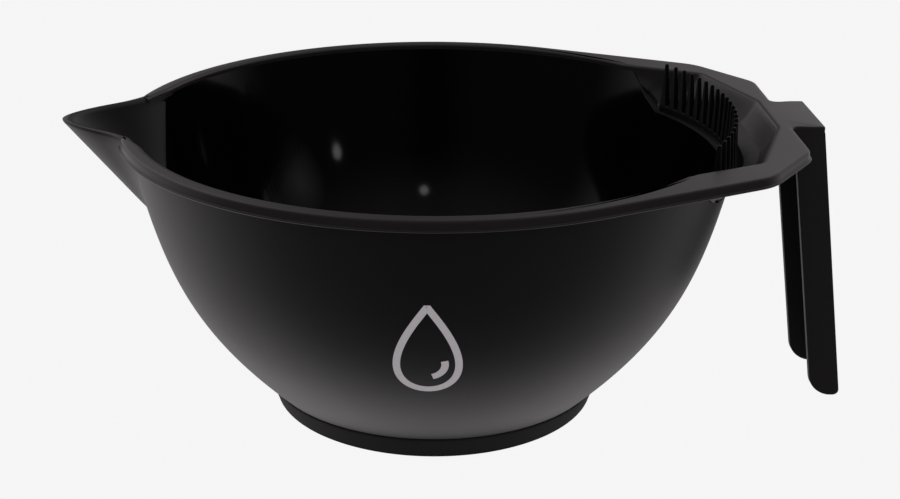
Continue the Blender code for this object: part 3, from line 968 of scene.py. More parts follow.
@dataclass
class RimAndPlate:
    """The rim, which widens into the plate, the strap and the sloping brush rest."""

    plate_end: float = 84.2 * MM
    plate_half: float = 30.0 * MM
    ear: Point2 = (71.6 * MM, 48.4 * MM)
    strap_end: float = 91.7 * MM
    inner_radius: float = 70.55 * MM
    rest_end: Point2 = (80.0 * MM, 11.5 * MM)
    rest_side: Point2 = (70.7 * MM, 38.0 * MM)
    rest_angle: float = 41.0
    comb_angle: float = 31.0
    rest_low_radius: float = 71.6 * MM
    rest_low: float = 62.6 * MM
    rest_low_side: float = 62.3 * MM
    rest_foot_radius: float = 70.4 * MM
    rest_foot: float = 60.6 * MM
    rest_hollow: float = 2.2
    # Depth under the rim's top below which the rest's faces beside the comb get the painted shade.
    painted_shade_depth: float = 7.7 * MM
    bead: float = 0.5 * MM
    end_lap: float = 0.8 * MM
    end_draw: float = 11.0 * MM
    end_narrow: float = 1.5 * MM
    corner_steps: int = 8
    edge_steps: int = 14
    arc_steps: int = 150
    arc_crowding: float = 1.7
    catch_up_rate: float = 3.0
    end_round: float = 3.4 * MM
    end_outer: float = 1.7 * MM
    end_inner: float = 0.4 * MM
    strap_reach: float = 0.9 * MM
    notch_reach: float = 1.6 * MM
    plate_reach: float = 2.6 * MM
    ear_reach: float = 3.6 * MM
    rim_reach: float = 0.5 * MM
    rim_inner_reach: float = 0.8 * MM
    rest_reach: float = 1.2 * MM
    strap_fade: float = 4.0 * MM
    lip_drop: float = 1.6 * MM
    foot_out: float = 0.6 * MM
    under_out: float = 1.3 * MM
    foot_share: float = 0.25
    foot_bulge: float = -0.1 * MM
    hug_rise: float = 1.2 * MM
    hug_reach: float = 2.5 * MM
    hug_drop: float = 3.0 * MM
    shoulder: Tuple[Point2, ...] = (
        (1.5 * MM, 0.0), (0.95 * MM, 0.0), (0.5 * MM, 0.07 * MM), (0.2 * MM, 0.24 * MM),
        (0.04 * MM, 0.48 * MM),
    )
    falls: Tuple[float, ...] = (0.06, 0.14, 0.26, 0.42, 0.6, 0.8, 1.0)

    def build(self, rim: bpy.types.Material, painted_shade: bpy.types.Material) -> bpy.types.Object:
        """Return the finished piece.

        Args:
            rim: Finish of the rim and plate.
            painted_shade: Painted shade on the low part of the brush rest, behind the comb: a dull
                black that barely reflects.

        Returns:
            The rim, plate, strap and rest in one.
        """
        half = self.half_stations()
        mirrored = [self.mirror(station) for station in reversed(half[1:])]
        stations = mirrored + half
        loops = [self.section(stations, i) for i in range(len(stations))]
        piece = skin("rim_and_plate", loops)
        Bench.dress(piece, rim, painted_shade)
        # The rest's low faces beside the comb take the painted shade, the second slot.
        for face in piece.data.polygons:
            x, y, z = face.center
            beside = abs(math.degrees(math.atan2(y, x - AXIS_X))) < self.comb_angle
            low = z < RIM_TOP - self.painted_shade_depth and face.normal.z > 0.0
            face.material_index = (RimFace.POCKET if low and beside else RimFace.RIM).value
        Bench.smooth(piece, PIECE_SMOOTH)
        rims = ("rim_flange_front", "rim_flange_rear")
        plates = ("handle_wing", "handle_bridge", "brush_rest")
        finish_piece(piece, Slot.BLACK_PLASTIC, *rims, *plates)
        return piece

    def tangent_angle(self) -> float:
        """Return the angle in degrees where the plate's straight edge leaves the rim's circle."""
        x, y = self.ear
        return math.degrees(math.atan2(y, x) + math.acos(RIM_RADIUS / math.hypot(x, y)))

    def rest_point(self, angle: float, z: float, radius: float) -> Vector:
        """Return a point by angle, height and radius."""
        x, y = polar(radius, angle)
        return Vector((x, y, z))

    def corners(self) -> List[Corner]:
        """Return the half plan's corners from the middle of the strap to the rim."""
        run = math.dist(self.rest_end, self.rest_side)
        split = self.rest_end[1] / (self.rest_end[1] + run)
        corners = []
        middle = (
            ((self.strap_end, 0.0), 0.0, 0.0),
            ((self.strap_end, HANDLE_HALF), self.strap_reach, 0.30),
            ((self.plate_end, HANDLE_HALF), self.notch_reach, 0.72),
            ((self.plate_end, self.plate_half), self.plate_reach, 1.0),
        )
        for outer, reach, share in middle:
            inner = (self.rest_end[0], self.rest_end[1] * share)
            low = self.rest_low + (self.rest_low_side - self.rest_low) * split * share
            angle = self.comb_angle * split * share
            corners.append(self.rest_corner(outer, reach, inner, angle, low))
        ear = (self.ear, self.ear_reach, self.rest_side)
        corners.append(self.rest_corner(*ear, self.comb_angle, self.rest_low_side))
        edge_x, edge_y = polar(RIM_RADIUS, self.tangent_angle())
        inner_x, inner_y = polar(self.inner_radius, self.rest_angle)
        end = Vector((inner_x, inner_y, RIM_TOP - self.lip_drop))
        foot = Vector((*polar(self.inner_radius + self.foot_out, self.rest_angle), RIM_BOTTOM))
        outer = (edge_x - AXIS_X, edge_y)
        inner = (inner_x - AXIS_X, inner_y)
        corners.append(Corner(outer, self.rim_reach, inner, self.rim_inner_reach, end, foot))
        return corners

    def rest_corner(
        self, outer: Point2, reach: float, inner: Point2, angle: float, low: float
    ) -> Corner:
        """Return a corner beside the brush rest.

        Args:
            outer: Plan point of the outer edge.
            reach: Where the outer edge's rounding starts.
            inner: Plan point of the inner edge.
            angle: Angle of the rest's low edge in degrees.
            low: Height of the rest's low edge.

        Returns:
            The corner.
        """
        low_point = self.rest_point(angle, low, self.rest_low_radius)
        foot = self.rest_point(angle, self.rest_foot, self.rest_foot_radius)
        return Corner(outer, reach, inner, min(reach, self.rest_reach), low_point, foot)

    def half_stations(self) -> List[Station]:
        """Return the stations from the strap's middle round to the rear end at the spout."""
        corners = self.corners()
        stations: List[Station] = []
        for i, corner in enumerate(corners[:-1]):
            after = corners[i + 1]
            if i > 0:
                stations += self.round_corner(corners[i - 1], corner, after)
            stations += self.straight(corner, after, i)
        stations += self.along_rim(stations[-1])
        return stations

    def round_corner(self, before: Corner, corner: Corner, after: Corner) -> List[Station]:
        """Return the stations of a corner's rounding, its ends included.

        Args:
            before: The corner before it.
            corner: The corner that is rounded.
            after: The corner after it.

        Returns:
            The stations in order.
        """
        lines = (before.points(), corner.points(), after.points(), corner.reaches())
        rounded = []
        for k in range(self.corner_steps + 1):
            t = k / self.corner_steps
            outer, inner, low, foot = (ease_corner(*line, t) for line in zip(*lines))
            rounded.append(Station(outer, inner, low, foot, self.strap_share(outer), 0.0))
        return rounded

    def straight(self, corner: Corner, after: Corner, index: int) -> List[Station]:
        """Return the stations between two corners' roundings.

        Args:
            corner: The corner it starts at.
            after: The corner it runs to.
            index: Place of the first corner; only at 0 is the start included.

        Returns:
            The stations in order.
        """
        first = 0 if index == 0 else 1
        ends = []
        for near, far in ((corner, after), (after, corner)):
            lines = zip(near.points(), far.points(), near.reaches())
            ends.append([a + (b - a).normalized() * reach for a, b, reach in lines])
        made = []
        for k in range(first, self.edge_steps):
            share = k / self.edge_steps
            outer, inner, low, foot = (a.lerp(b, share) for a, b in zip(*ends))
            low, foot = self.hug_wall(low), self.hug_wall(foot)
            made.append(Station(outer, inner, low, foot, self.strap_share(outer), 0.0))
        return made

    def hug_wall(self, point: Vector) -> Vector:
        """Return a low point moved out onto its circle, which a straight run cuts across."""
        offset = Vector((point.x - AXIS_X, point.y))
        raised = point.z > self.rest_foot + self.hug_rise
        wanted = self.rest_low_radius if raised else self.rest_foot_radius
        if offset.length > wanted - self.hug_reach and point.z < RIM_BOTTOM - self.hug_drop:
            offset = offset.normalized() * wanted
        return Vector((AXIS_X + offset.x, offset.y, point.z))

    def strap_share(self, outer: Vector) -> float:
        """Return how much of the strap's section a station has."""
        return min(max((outer.x - AXIS_X - self.plate_end) / self.strap_fade, 0.0), 1.0)

    def along_rim(self, last: Station) -> List[Station]:
        """Return the stations round the rim's arc to its rounded end at the spout."""
        start_outer = self.tangent_angle()
        start_inner = self.rest_angle
        stop = 180.0 - math.degrees(math.asin((SPOUT_HALF - self.end_lap) / RIM_RADIUS))
        made = []
        for k in range(1, self.arc_steps + 1):
            share = 1.0 - (1.0 - k / self.arc_steps) ** self.arc_crowding
            outer_angle = start_outer + (stop - start_outer) * share
            lag = 1.0 - ease(min(share * self.catch_up_rate, 1.0))
            inner_angle = outer_angle - (start_outer - start_inner) * lag
            to_end = math.radians(stop - outer_angle) * RIM_RADIUS
            over = max(1.0 - to_end / self.end_round, 0.0)
            end = 1.0 - math.sqrt(max(1.0 - over * over, 0.0))
            draw = min(max(1.0 - to_end / self.end_draw, 0.0), 1.0)
            inner_radius = self.inner_radius + self.end_narrow * ease(draw)
            outer = Vector((*polar(RIM_RADIUS - self.end_outer * end, outer_angle), 0.0))
            inner = Vector((*polar(inner_radius + self.end_inner * end, inner_angle), 0.0))
            low = Vector((inner.x, inner.y, RIM_TOP - self.lip_drop))
            foot = Vector((*polar(inner_radius + self.foot_out, inner_angle), RIM_BOTTOM))
            made.append(Station(outer, inner, low, foot, 0.0, end))
        return made

    def mirror(self, station: Station) -> Station:
        """Return a station on the other side of the middle plane."""
        points = (station.outer, station.inner, station.low, station.foot)
        outer, inner, low, foot = (Vector((p.x, -p.y, p.z)) for p in points)
        return Station(outer, inner, low, foot, station.strap, station.end)

    def section(self, stations: List[Station], index: int) -> List[Vector]:
        """Return one closed cross-section, from the underside up the outer edge and down inside.

        Args:
            stations: All stations in order.
            index: The one that is made.

        Returns:
            The section's points.
        """
        station = stations[index]
        before = stations[max(index - 1, 0)]
        after = stations[min(index + 1, len(stations) - 1)]
        outer_in = self.left_of(after.outer - before.outer)
        inner_out = -self.left_of(after.inner - before.inner)
        points = []
        for (offset, z), (strap_offset, strap_z) in zip(self.rim_edge(), self.strap_edge()):
            share = station.strap
            move = offset + (strap_offset - offset) * share
            height = z + (strap_z - z) * share
            place = station.outer + outer_in * move
            points.append(Vector((place.x, place.y, height)))
        for offset, drop in self.shoulder:
            place = station.inner + inner_out * offset
            points.append(Vector((place.x, place.y, RIM_TOP - drop)))
        shoulder = points[-1]
        for share in self.falls:
            fall = 1.0 - (1.0 - share) ** self.rest_hollow
            place = shoulder.lerp(station.low, share)
            height = shoulder.z + (station.low.z - shoulder.z) * fall
            points.append(Vector((place.x, place.y, height)))
        below = station.low.lerp(station.foot, self.foot_share)
        points.append(below + inner_out * self.foot_bulge)
        points.append(station.foot)
        under = station.inner + inner_out * self.under_out
        points.append(Vector((under.x, under.y, RIM_BOTTOM)))
        return points

    def left_of(self, run: Vector) -> Vector:
        """Return the plan normal to the left of a direction; the stations run anticlockwise."""
        return Vector((-run.y, run.x, 0.0)).normalized()

    def rim_edge(self) -> List[Point2]:
        """Return the rim's outer edge as (inset, z), from its underside to its top."""
        low, top, side = RIM_BOTTOM, RIM_TOP, self.bead
        return [
            (1.6 * MM, low), (0.36 * MM, low),
            (0.12 * MM, low + 0.07 * MM), (0.0, low + 0.25 * MM),
            (0.04 * MM, low + 0.42 * MM), (0.2 * MM, low + 0.55 * MM),
            (side * 0.85, low + 0.61 * MM), (side, low + 0.72 * MM),
            (side, low + 1.7 * MM), (side + 0.1 * MM, top - 0.4 * MM),
            (side + 0.26 * MM, top - 0.16 * MM), (side + 0.48 * MM, top - 0.04 * MM),
            (side + 0.7 * MM, top), (side + 1.3 * MM, top),
        ]

    def strap_edge(self) -> List[Point2]:
        """Return the strap's outer edge as (inset, z), a plain side with a soft top corner."""
        low, top, turn_size = RIM_BOTTOM, RIM_TOP, 0.5 * MM
        points = [(0.6 * MM, low), (0.3 * MM, low), (0.02 * MM, low)]
        points += [(0.0, low + 0.1 * MM + 0.5 * MM * i) for i in range(4)]
        for i in range(7):
            angle = math.radians(90.0 * i / 6)
            inset = turn_size * (1 - math.cos(angle))
            points.append((inset, top - turn_size * (1 - math.sin(angle))))
        return points


# ---------------------------------------------------------------- comb


@dataclass
class Comb:
    """The row of pointed teeth on the bowl's edge, on a curved strip."""

    inner: float = 70.2 * MM
    outer: float = 72.0 * MM
    half_angle: float = 31.0
    root: float = 63.4 * MM
    teeth: int = 21
    pitch: float = 3.0
    root_width: float = 2.5 * MM
    tip_width: float = 0.75 * MM
    tip_depth: float = 0.9 * MM
    edge: float = 0.28 * MM
    edge_segments: int = 3
    tooth_sink: float = 1.2 * MM
    strip_sink: float = 0.4 * MM
    strip_slack: float = 0.2
    strip_steps: int = 62
    facing_up: float = 0.9
    edges: Tuple[Point2, ...] = (
        (0.0, 0.35 * MM), (0.12 * MM, 0.1 * MM), (0.35 * MM, 0.0),
    )

    def build(self, finish: bpy.types.Material) -> bpy.types.Object:
        """Return the strip joined with its teeth."""
        strip = self.strip()
        first = self.tooth()
        teeth = [first]
        for index in range(1, self.teeth):
            copy = first.copy()
            copy.data = first.data.copy()
            bpy.context.scene.collection.objects.link(copy)
            teeth.append(copy)
        for index, tooth in enumerate(teeth):
            self.swing(tooth, (index - (self.teeth - 1) / 2) * self.pitch)
        for tooth in teeth:
            Bench.carve(strip, tooth, "UNION")
        Bench.dress(strip, finish)
        Bench.smooth(strip, SMALL_SMOOTH)
        finish_piece(strip, Slot.BLACK_PLASTIC, "brush_comb")
        return strip

    def tooth(self) -> bpy.types.Object:
        """Return one tapered tooth at angle zero with rounded edges."""
        Bench.clear()
        low = self.root - self.tooth_sink
        middle = (AXIS_X + (self.inner + self.outer) / 2, 0.0, (low + COMB_TIP) / 2)
        bpy.ops.mesh.primitive_cube_add(size=1.0, location=middle)
        item = bpy.context.object
        item.scale = (self.outer - self.inner, self.root_width, COMB_TIP - low)
        Bench.settle(item, "comb_tooth")
        Bench.edit(item, "FACE")
        Bench.pick(item, "faces", lambda f: f.normal.z > self.facing_up)
        tip = (middle[0], 0.0, COMB_TIP)
        thin = self.tip_depth / (self.outer - self.inner)
        narrow = self.tip_width / self.root_width
        bpy.ops.transform.resize(value=(thin, narrow, 1.0), center_override=tip)
        bpy.ops.mesh.select_all(action="DESELECT")
        bpy.ops.mesh.select_mode(type="EDGE")
        Bench.pick(item, "edges", lambda e: max(v.co.z for v in e.verts) > low + MM)
        segments = self.edge_segments
        bpy.ops.mesh.bevel(offset=self.edge, segments=segments, profile=ROUND_PROFILE)
        bpy.ops.object.mode_set(mode="OBJECT")
        return item

    def swing(self, tooth: bpy.types.Object, degrees: float) -> None:
        """Turn a tooth's mesh round the bowl's axis."""
        pivot = Matrix.Translation((AXIS_X, 0.0, 0.0))
        turn_by = Matrix.Rotation(math.radians(degrees), 4, "Z")
        tooth.data.transform(pivot @ turn_by @ pivot.inverted())

    def strip(self) -> bpy.types.Object:
        """Return the curved strip under the teeth."""
        loops = []
        half = self.half_angle - self.strip_slack
        foot = COMB_FOOT - self.strip_sink
        rising = [(self.inner + inset, self.root - drop) for inset, drop in self.edges]
        falling = [(self.outer - inset, self.root - drop) for inset, drop in reversed(self.edges)]
        section = ((self.inner, foot), *rising, *falling, (self.outer, foot))
        for i in range(self.strip_steps + 1):
            angle = -half + 2 * half * i / self.strip_steps
            loops.append([Vector((*polar(radius, angle), z)) for radius, z in section])
        return skin("comb", loops)


# ---------------------------------------------------------------- handle


@dataclass
class Handle:
    """The channel handle: a leaning outer web with a cheek on each side.

    Reaches are from the bowl's axis.
    """

    top_outer: float = 91.7 * MM
    low_outer: float = 101.3 * MM
    top_inner: float = 84.6 * MM
    low_inner: float = 94.0 * MM
    bottom: float = 1.0 * MM
    wall: float = 2.0 * MM
    tuck: float = 1.0 * MM
    side_slack: float = 0.03 * MM
    corner: float = 5.0 * MM
    edge: float = 0.7 * MM
    heel: float = 1.6 * MM
    overshoot: float = 6.0 * MM
    open_side: float = 8.0 * MM
    corner_reach: float = 1.0 * MM
    heel_reach: float = 0.5 * MM
    corner_segments: int = 10
    heel_segments: int = 5
    edge_segments: int = 4
    edge_limit: float = 50.0

    def build(self, finish: bpy.types.Material) -> bpy.types.Object:
        """Return the finished handle."""
        item = self.block()
        Bench.carve(item, self.hollow(), "DIFFERENCE")
        self.round_lower_corners(item)
        self.round_edges(item)
        Bench.dress(item, finish)
        Bench.smooth(item, PIECE_SMOOTH)
        nodes = ("handle_web", "handle_cheek_front", "handle_cheek_rear")
        finish_piece(item, Slot.BLACK_PLASTIC, *nodes)
        return item

    def leaning_box(
        self, name: str, half: float, inner: Point2, outer: Point2, low: float, high: float
    ) -> bpy.types.Object:
        """Return a box whose inner and outer faces lean.

        Args:
            name: The object's name.
            half: Half its width.
            inner: Reach of the inner face at the high and low ends.
            outer: Reach of the outer face at the high and low ends.
            low: Height of its lower end.
            high: Height of its upper end.

        Returns:
            The box.
        """
        Bench.clear()
        bpy.ops.mesh.primitive_cube_add(size=2.0, location=(0.0, 0.0, 0.0))
        item = bpy.context.object
        Bench.settle(item, name)
        for vertex in item.data.vertices:
            upper = vertex.co.z > 0.0
            reach = (outer if vertex.co.x > 0.0 else inner)[0 if upper else 1]
            side = half if vertex.co.y > 0.0 else -half
            vertex.co = (AXIS_X + reach, side, high if upper else low)
        return item

    def reaches_at(self, z: float) -> Point2:
        """Return the reaches of the free inner edge and the outer face at a height."""
        share = (RIM_BOTTOM - z) / (RIM_BOTTOM - self.bottom)
        inner = self.top_inner + (self.low_inner - self.top_inner) * share
        return inner, self.top_outer + (self.low_outer - self.top_outer) * share

    def block(self) -> bpy.types.Object:
        """Return the handle before it is hollowed."""
        high = RIM_BOTTOM + self.tuck
        outer = (self.top_outer - self.side_slack, self.low_outer)
        inner = (self.reaches_at(high)[0], self.low_inner)
        half = HANDLE_HALF - self.side_slack
        return self.leaning_box("handle_channel", half, inner, outer, self.bottom, high)

    def hollow(self) -> bpy.types.Object:
        """Return the channel's hollow, open towards the bowl and below."""
        low, high = self.bottom - self.overshoot, RIM_BOTTOM + self.overshoot
        ends = (self.reaches_at(high), self.reaches_at(low))
        outer = tuple(far - self.wall for _, far in ends)
        inner = tuple(near - self.open_side for near, _ in ends)
        half = HANDLE_HALF - self.wall
        return self.leaning_box("handle_hollow", half, inner, outer, low, high)

    def round_lower_corners(self, item: bpy.types.Object) -> None:
        """Round the cheeks' lower inner corners and the web's lower outer corner."""
        low = self.bottom + MM
        inner = AXIS_X + self.low_inner + self.corner_reach
        heel = AXIS_X + self.low_outer - self.heel_reach
        Bench.edit(item, "EDGE")

        def is_corner(edge: bmesh.types.BMEdge) -> bool:
            """Say whether an edge crosses a cheek's lower inner corner."""
            return all(v.co.z < low and v.co.x < inner for v in edge.verts)

        def is_heel(edge: bmesh.types.BMEdge) -> bool:
            """Say whether an edge runs along the web's lower outer corner."""
            return all(v.co.z < low and v.co.x > heel for v in edge.verts)

        steps = (
            (is_corner, self.corner, self.corner_segments),
            (is_heel, self.heel, self.heel_segments),
        )
        for test, size, segments in steps:
            bpy.ops.mesh.select_all(action="DESELECT")
            Bench.pick(item, "edges", test)
            bpy.ops.mesh.bevel(offset=size, segments=segments, profile=ROUND_PROFILE)
        bpy.ops.object.mode_set(mode="OBJECT")

    def round_edges(self, item: bpy.types.Object) -> None:
        """Round the remaining sharp edges with a bevel."""
        Bench.take(item)
        step = item.modifiers.new("edges", "BEVEL")
        step.width = self.edge
        step.segments = self.edge_segments
        step.limit_method = "ANGLE"
        step.angle_limit = math.radians(self.edge_limit)
        bpy.ops.object.modifier_apply(modifier=step.name)


# ---------------------------------------------------------------- foot and print


@dataclass
class FootRing:
    """The soft ring that the bowl stands on."""

    bottom_radius: float = 39.7 * MM
    inner_radius: float = 32.6 * MM
    edge: float = 0.6 * MM
    overlap: float = 0.22 * MM
    shoulder: Tuple[Point2, ...] = ((0.35 * MM, 0.0), (0.1 * MM, 0.08 * MM), (0.0, 0.3 * MM))
    side_steps: int = 8
    edge_steps: int = 5
    sides: int = 200

    def build(self, finish: bpy.types.Material) -> bpy.types.Object:
        """Return the finished ring."""
        edge, steps = self.edge, self.edge_steps
        top = FOOT_TOP + self.overlap
        profile = [(FOOT_RADIUS - inset, top - drop) for inset, drop in self.shoulder]
        side_top = profile[-1][1]
        for i in range(1, self.side_steps + 1):
            share = i / self.side_steps
            z = side_top - (side_top - edge) * share
            profile.append((FOOT_RADIUS + (self.bottom_radius - FOOT_RADIUS) * share, z))
        profile += arc((self.bottom_radius - edge, edge), edge, 0.0, -90.0, steps)[1:]
        profile += arc((self.inner_radius + edge, edge), edge, -90.0, -180.0, steps)
        profile.append((self.inner_radius, top))
        ring = turn("foot_ring", profile, self.sides, True)
        Bench.dress(ring, finish)
        Bench.smooth(ring, RING_SMOOTH)
        finish_piece(ring, Slot.FOOT_RUBBER, "foot_grip_ring", "base_ring")
        return ring


@dataclass
class DropletPrint:
    """A plain droplet outline printed on the front of the bowl."""

    form: BowlForm
    centre_angle: float = -92.8
    centre_z: float = 38.6 * MM
    height: float = 23.0 * MM
    half_width: float = 8.8 * MM
    stroke: float = 1.6 * MM
    proud: float = 0.05 * MM
    steps: int = 96
    tip_power: float = 1.1
    glint_drop: float = 0.17
    glint_radius: float = 0.42
    glint_turn: Point2 = (285.0, 375.0)
    glint_steps: int = 18
    across_shares: Tuple[float, ...] = (-0.5, -0.17, 0.17, 0.5)

    def build(self, finish: bpy.types.Material) -> bpy.types.Object:
        """Return the finished print."""
        mark = self.ribbon("droplet_print", self.droplet(), True)
        glint = self.ribbon("droplet_glint", self.glint(), False)
        Bench.take(mark)
        glint.select_set(True)
        bpy.ops.object.join()
        Bench.dress(mark, finish)
        finish_piece(mark, Slot.BLACK_PLASTIC)
        return mark

    def droplet(self) -> List[Point2]:
        """Return the droplet's middle line as plan points, pointed at the top."""
        points = []
        for i in range(self.steps):
            angle = math.tau * (i + 0.5) / self.steps
            narrow = math.sin(angle / 2) ** self.tip_power
            across = self.half_width * math.sin(angle) * narrow
            points.append((-across, self.height / 2 * math.cos(angle)))
        return points

    def glint(self) -> List[Point2]:
        """Return a short arc inside the droplet's lower side."""
        centre = (0.0, -self.height * self.glint_drop)
        radius = self.half_width * self.glint_radius
        return arc(centre, radius, *self.glint_turn, self.glint_steps)

    def on_bowl(self, across: float, up: float, proud: float) -> Vector:
        """Return the point of the bowl's outside at a place of the print.

        Args:
            across: Distance from the print's middle round the bowl.
            up: Height over the print's middle.
            proud: How far the point stands off the wall.

        Returns:
            The point.
        """
        z = self.centre_z + up
        radius = self.form.radius_at(z, 0.0) + proud
        x, y = polar(radius, self.centre_angle + math.degrees(across / radius))
        return Vector((x, y, z))

    def ribbon(self, name: str, line: List[Point2], closed: bool) -> bpy.types.Object:
        """Return a thin ribbon along a line, lying on the bowl.

        Args:
            name: The object's name.
            line: Points of the ribbon's middle.
            closed: Whether the line returns to its start.

        Returns:
            The ribbon as a thin solid.
        """
        work = bmesh.new()
        rows = []
        count = len(line)
        for i, (across, up) in enumerate(line):
            before = line[i - 1] if closed or i else line[0]
            after = line[(i + 1) % count] if closed or i < count - 1 else line[-1]
            run = (Vector(after) - Vector(before)).normalized()
            row = []
            for share in self.across_shares:
                a = across - run.y * self.stroke * share
                u = up + run.x * self.stroke * share
                row.append(work.verts.new(self.on_bowl(a, u, self.proud)))
            rows.append(row)
        pairs = list(zip(rows, rows[1:]))
        if closed:
            pairs.append((rows[-1], rows[0]))
        for first, second in pairs:
            for corners in zip(first, first[1:], second[1:], second):
                work.faces.new(corners)
        item = lift_off(name, work)
        self.thicken(item)
        return item

    def thicken(self, item: bpy.types.Object) -> None:
        """Turn the ribbon outwards and give it a thin body that sinks into the wall."""
        Bench.edit(item, "FACE")
        bpy.ops.mesh.select_all(action="SELECT")
        bpy.ops.mesh.normals_make_consistent(inside=False)
        bpy.ops.object.mode_set(mode="OBJECT")
        centre = Vector((AXIS_X, 0.0, self.centre_z))
        face = item.data.polygons[0]
        if face.normal.dot(face.center - centre) < 0.0:
            item.data.flip_normals()
        step = item.modifiers.new("body", "SOLIDIFY")
        step.thickness = self.proud * 2
        step.offset = -1.0
        bpy.ops.object.modifier_apply(modifier=step.name)
        Bench.smooth(item, SMALL_SMOOTH)


# ---------------------------------------------------------------- stage


@dataclass
class Panel:
    """One aimed lamp, with its size in metres, its power in watts and its spread in degrees."""

    name: str
    place: Vector
    target: Vector
    size: Point2
    power: float
    spread: float = 10.0


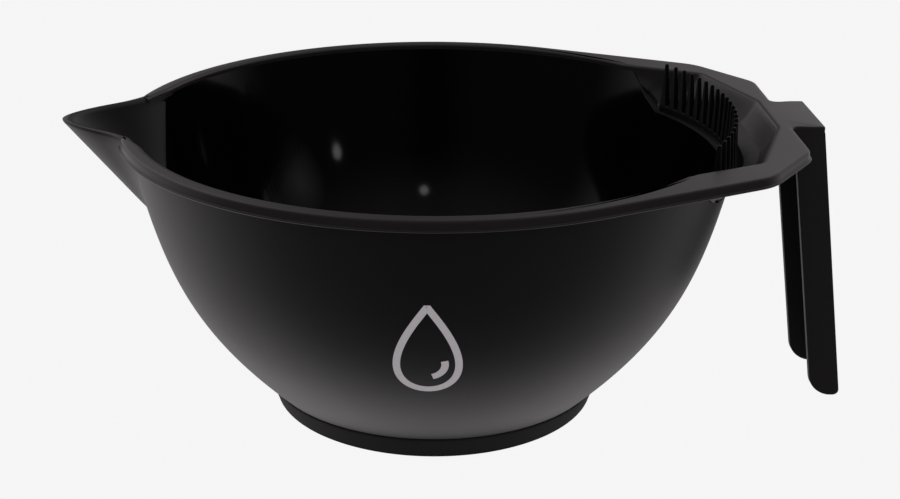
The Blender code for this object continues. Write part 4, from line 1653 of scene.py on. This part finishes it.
@dataclass
class Studio:
    """Pale floor, surroundings, aimed lamps and camera.

    The room is what glossy surfaces reflect. Its fields give its brightness by direction: in front
    and behind, to the left and right, in the middle, and below and above.
    """

    floor_colour: Colour = (0.93, 0.93, 0.93)
    floor_glow: float = 0.985
    floor_size: float = 6.0
    floor_sink: float = 0.02 * MM
    soft_light: float = 0.75
    room_tint: Colour = (1.0, 0.96, 0.985)
    room_front: float = -0.35
    room_back: float = 0.6
    room_dark: float = 0.016
    room_bright: float = 0.38
    room_left: float = 2.0
    room_right: float = 1.5
    room_middle: float = 0.12
    room_below: float = 1.05
    room_above: float = 0.10
    middle_edge: float = 0.34
    side_edge: float = 0.8
    below_edge: float = -0.55
    above_edges: Point2 = (0.3, 0.8)
    eye: Vector = Vector((-0.016454, -0.369072, 0.1786))
    yaw: float = 2.15
    pitch: float = 21.05
    roll: float = -0.359
    lens: float = 63.99
    near_clip: float = 0.01

    def build(self) -> None:
        """Set the stage."""
        self.floor()
        self.world()
        for panel in self.panels():
            self.light(panel)
        self.camera()

    def floor(self) -> None:
        """Lay a plain pale floor that glows evenly and is left out of reflections."""
        Bench.clear()
        place = (0.0, 0.0, -self.floor_sink)
        bpy.ops.mesh.primitive_plane_add(size=self.floor_size, location=place)
        floor = bpy.context.object
        Bench.settle(floor, "pale_floor")
        material = bpy.data.materials.new("pale_floor")
        board = NodeBoard(material)
        inputs = {"Color": (*self.floor_colour, 1.0), "Strength": self.floor_glow}
        board.add_output(board.add("ShaderNodeEmission", {}, inputs))
        Bench.dress(floor, material)
        floor.visible_glossy = False
        floor.visible_diffuse = False

    def world(self) -> None:
        """Set the surroundings: pale to the eye, even for soft light, graded for reflections.

        The reflected room is dark in front and bright behind, a little more so on the left.
        """
        world = bpy.data.worlds.new("surroundings")
        board = NodeBoard(world)
        ray = board.add("ShaderNodeLightPath", {}, {}, "Is Camera Ray")
        glossy = board.add("ShaderNodeLightPath", {}, {}, "Is Glossy Ray")
        way = board.add("ShaderNodeTexCoord", {}, {}, "Generated")
        split = (board.add("ShaderNodeSeparateXYZ", {}, {0: way}, axis) for axis in "XYZ")
        across, depth, height = split
        side = board.add("ShaderNodeMath", {"operation": "ABSOLUTE"}, {0: across})
        dark, bright, edge = self.room_dark, self.room_bright, self.side_edge
        back = board.ramp(depth, self.room_front, self.room_back, dark, bright)
        sides = board.ramp(side, 0.0, self.middle_edge, self.room_middle, 1.0)
        below = board.ramp(height, -1.0, self.below_edge, 1.0, 0.0)
        room = back * board.ramp(across, -edge, edge, self.room_left, self.room_right)
        room = room * (sides + (1.0 - sides) * below) * (1.0 + below * self.room_below)
        room = room + board.ramp(height, *self.above_edges, 0.0, self.room_above)
        seen = self.soft_light + (room - self.soft_light) * glossy
        level = seen + (self.floor_glow - seen) * ray
        tint = board.blend(ray, self.room_tint, self.floor_colour)
        glow = board.add("ShaderNodeBackground", {}, {"Color": tint, "Strength": level})
        board.add_output(glow, "ShaderNodeOutputWorld")
        bpy.context.scene.world = world
        bpy.context.scene.view_settings.view_transform = "Standard"

    def panels(self) -> List[Panel]:
        """Return the lamps: one broad glow and two small round highlights inside the bowl."""
        left_spot = Vector((-0.032, 0.059, 0.043))
        right_spot = Vector((-0.008, 0.059, 0.032))
        glow_spot = Vector((-0.041, 0.050, 0.034))
        right_place = Vector((0.476, -0.445, 0.267))
        front_place = Vector((0.037, -0.545, 0.475))
        glow_place = Vector((0.600, -0.215, 0.300))
        small, faint = (0.05, 0.05), 0.000034
        return [
            Panel("soft_glow", glow_place, glow_spot, (0.34, 0.28), 0.0008, 24.0),
            Panel("round_lamp_right", right_place, left_spot, small, faint),
            Panel("round_lamp_front", front_place, right_spot, small, faint),
        ]

    def light(self, panel: Panel) -> None:
        """Hang one lamp."""
        data = bpy.data.lights.new(panel.name, "AREA")
        data.shape = "ELLIPSE"
        data.size, data.size_y = panel.size
        data.spread = math.radians(panel.spread)
        data.energy = panel.power
        item = bpy.data.objects.new(panel.name, data)
        item.location = panel.place
        aim = panel.target - panel.place
        item.rotation_euler = aim.to_track_quat("-Z", "Y").to_euler()
        bpy.context.scene.collection.objects.link(item)

    def camera(self) -> None:
        """Set the camera."""
        yaw, pitch, roll = (math.radians(a) for a in (self.yaw, self.pitch, self.roll))
        flat = math.cos(pitch)
        ahead = Vector((math.sin(yaw) * flat, math.cos(yaw) * flat, -math.sin(pitch)))
        level = Vector((math.cos(yaw), -math.sin(yaw), 0.0))
        above = level.cross(ahead)
        right = level * math.cos(roll) - above * math.sin(roll)
        up = level * math.sin(roll) + above * math.cos(roll)
        data = bpy.data.cameras.new("studio_camera")
        data.lens = self.lens
        data.clip_start = self.near_clip
        item = bpy.data.objects.new("studio_camera", data)
        turned = Matrix((right, up, -ahead)).transposed().to_4x4()
        item.matrix_world = Matrix.Translation(self.eye) @ turned
        bpy.context.scene.collection.objects.link(item)
        bpy.context.scene.camera = item


def main() -> None:
    """Build every piece, then the stage."""
    logging.basicConfig(level=logging.INFO, format="%(name)s: %(message)s")
    outside = SATIN_OUTSIDE.make()
    inside = GLOSS_INSIDE.make()
    rim = RIM_SATIN.make()
    form = BowlForm()
    spout = SpoutForm(form)
    BowlBody(form, spout).build(outside, inside)
    Spout(form, spout).build(outside)
    # The second finish is painted shade for the rest's low part behind the comb.
    RimAndPlate().build(rim, REST_PAINTED_SHADE.make())
    Comb().build(COMB_DARK.make())
    Handle().build(HANDLE_SATIN.make())
    FootRing().build(FOOT_MATT.make())
    DropletPrint(form).build(PALE_PRINT.make())
    Studio().build()


if __name__ == "__main__":
    main()
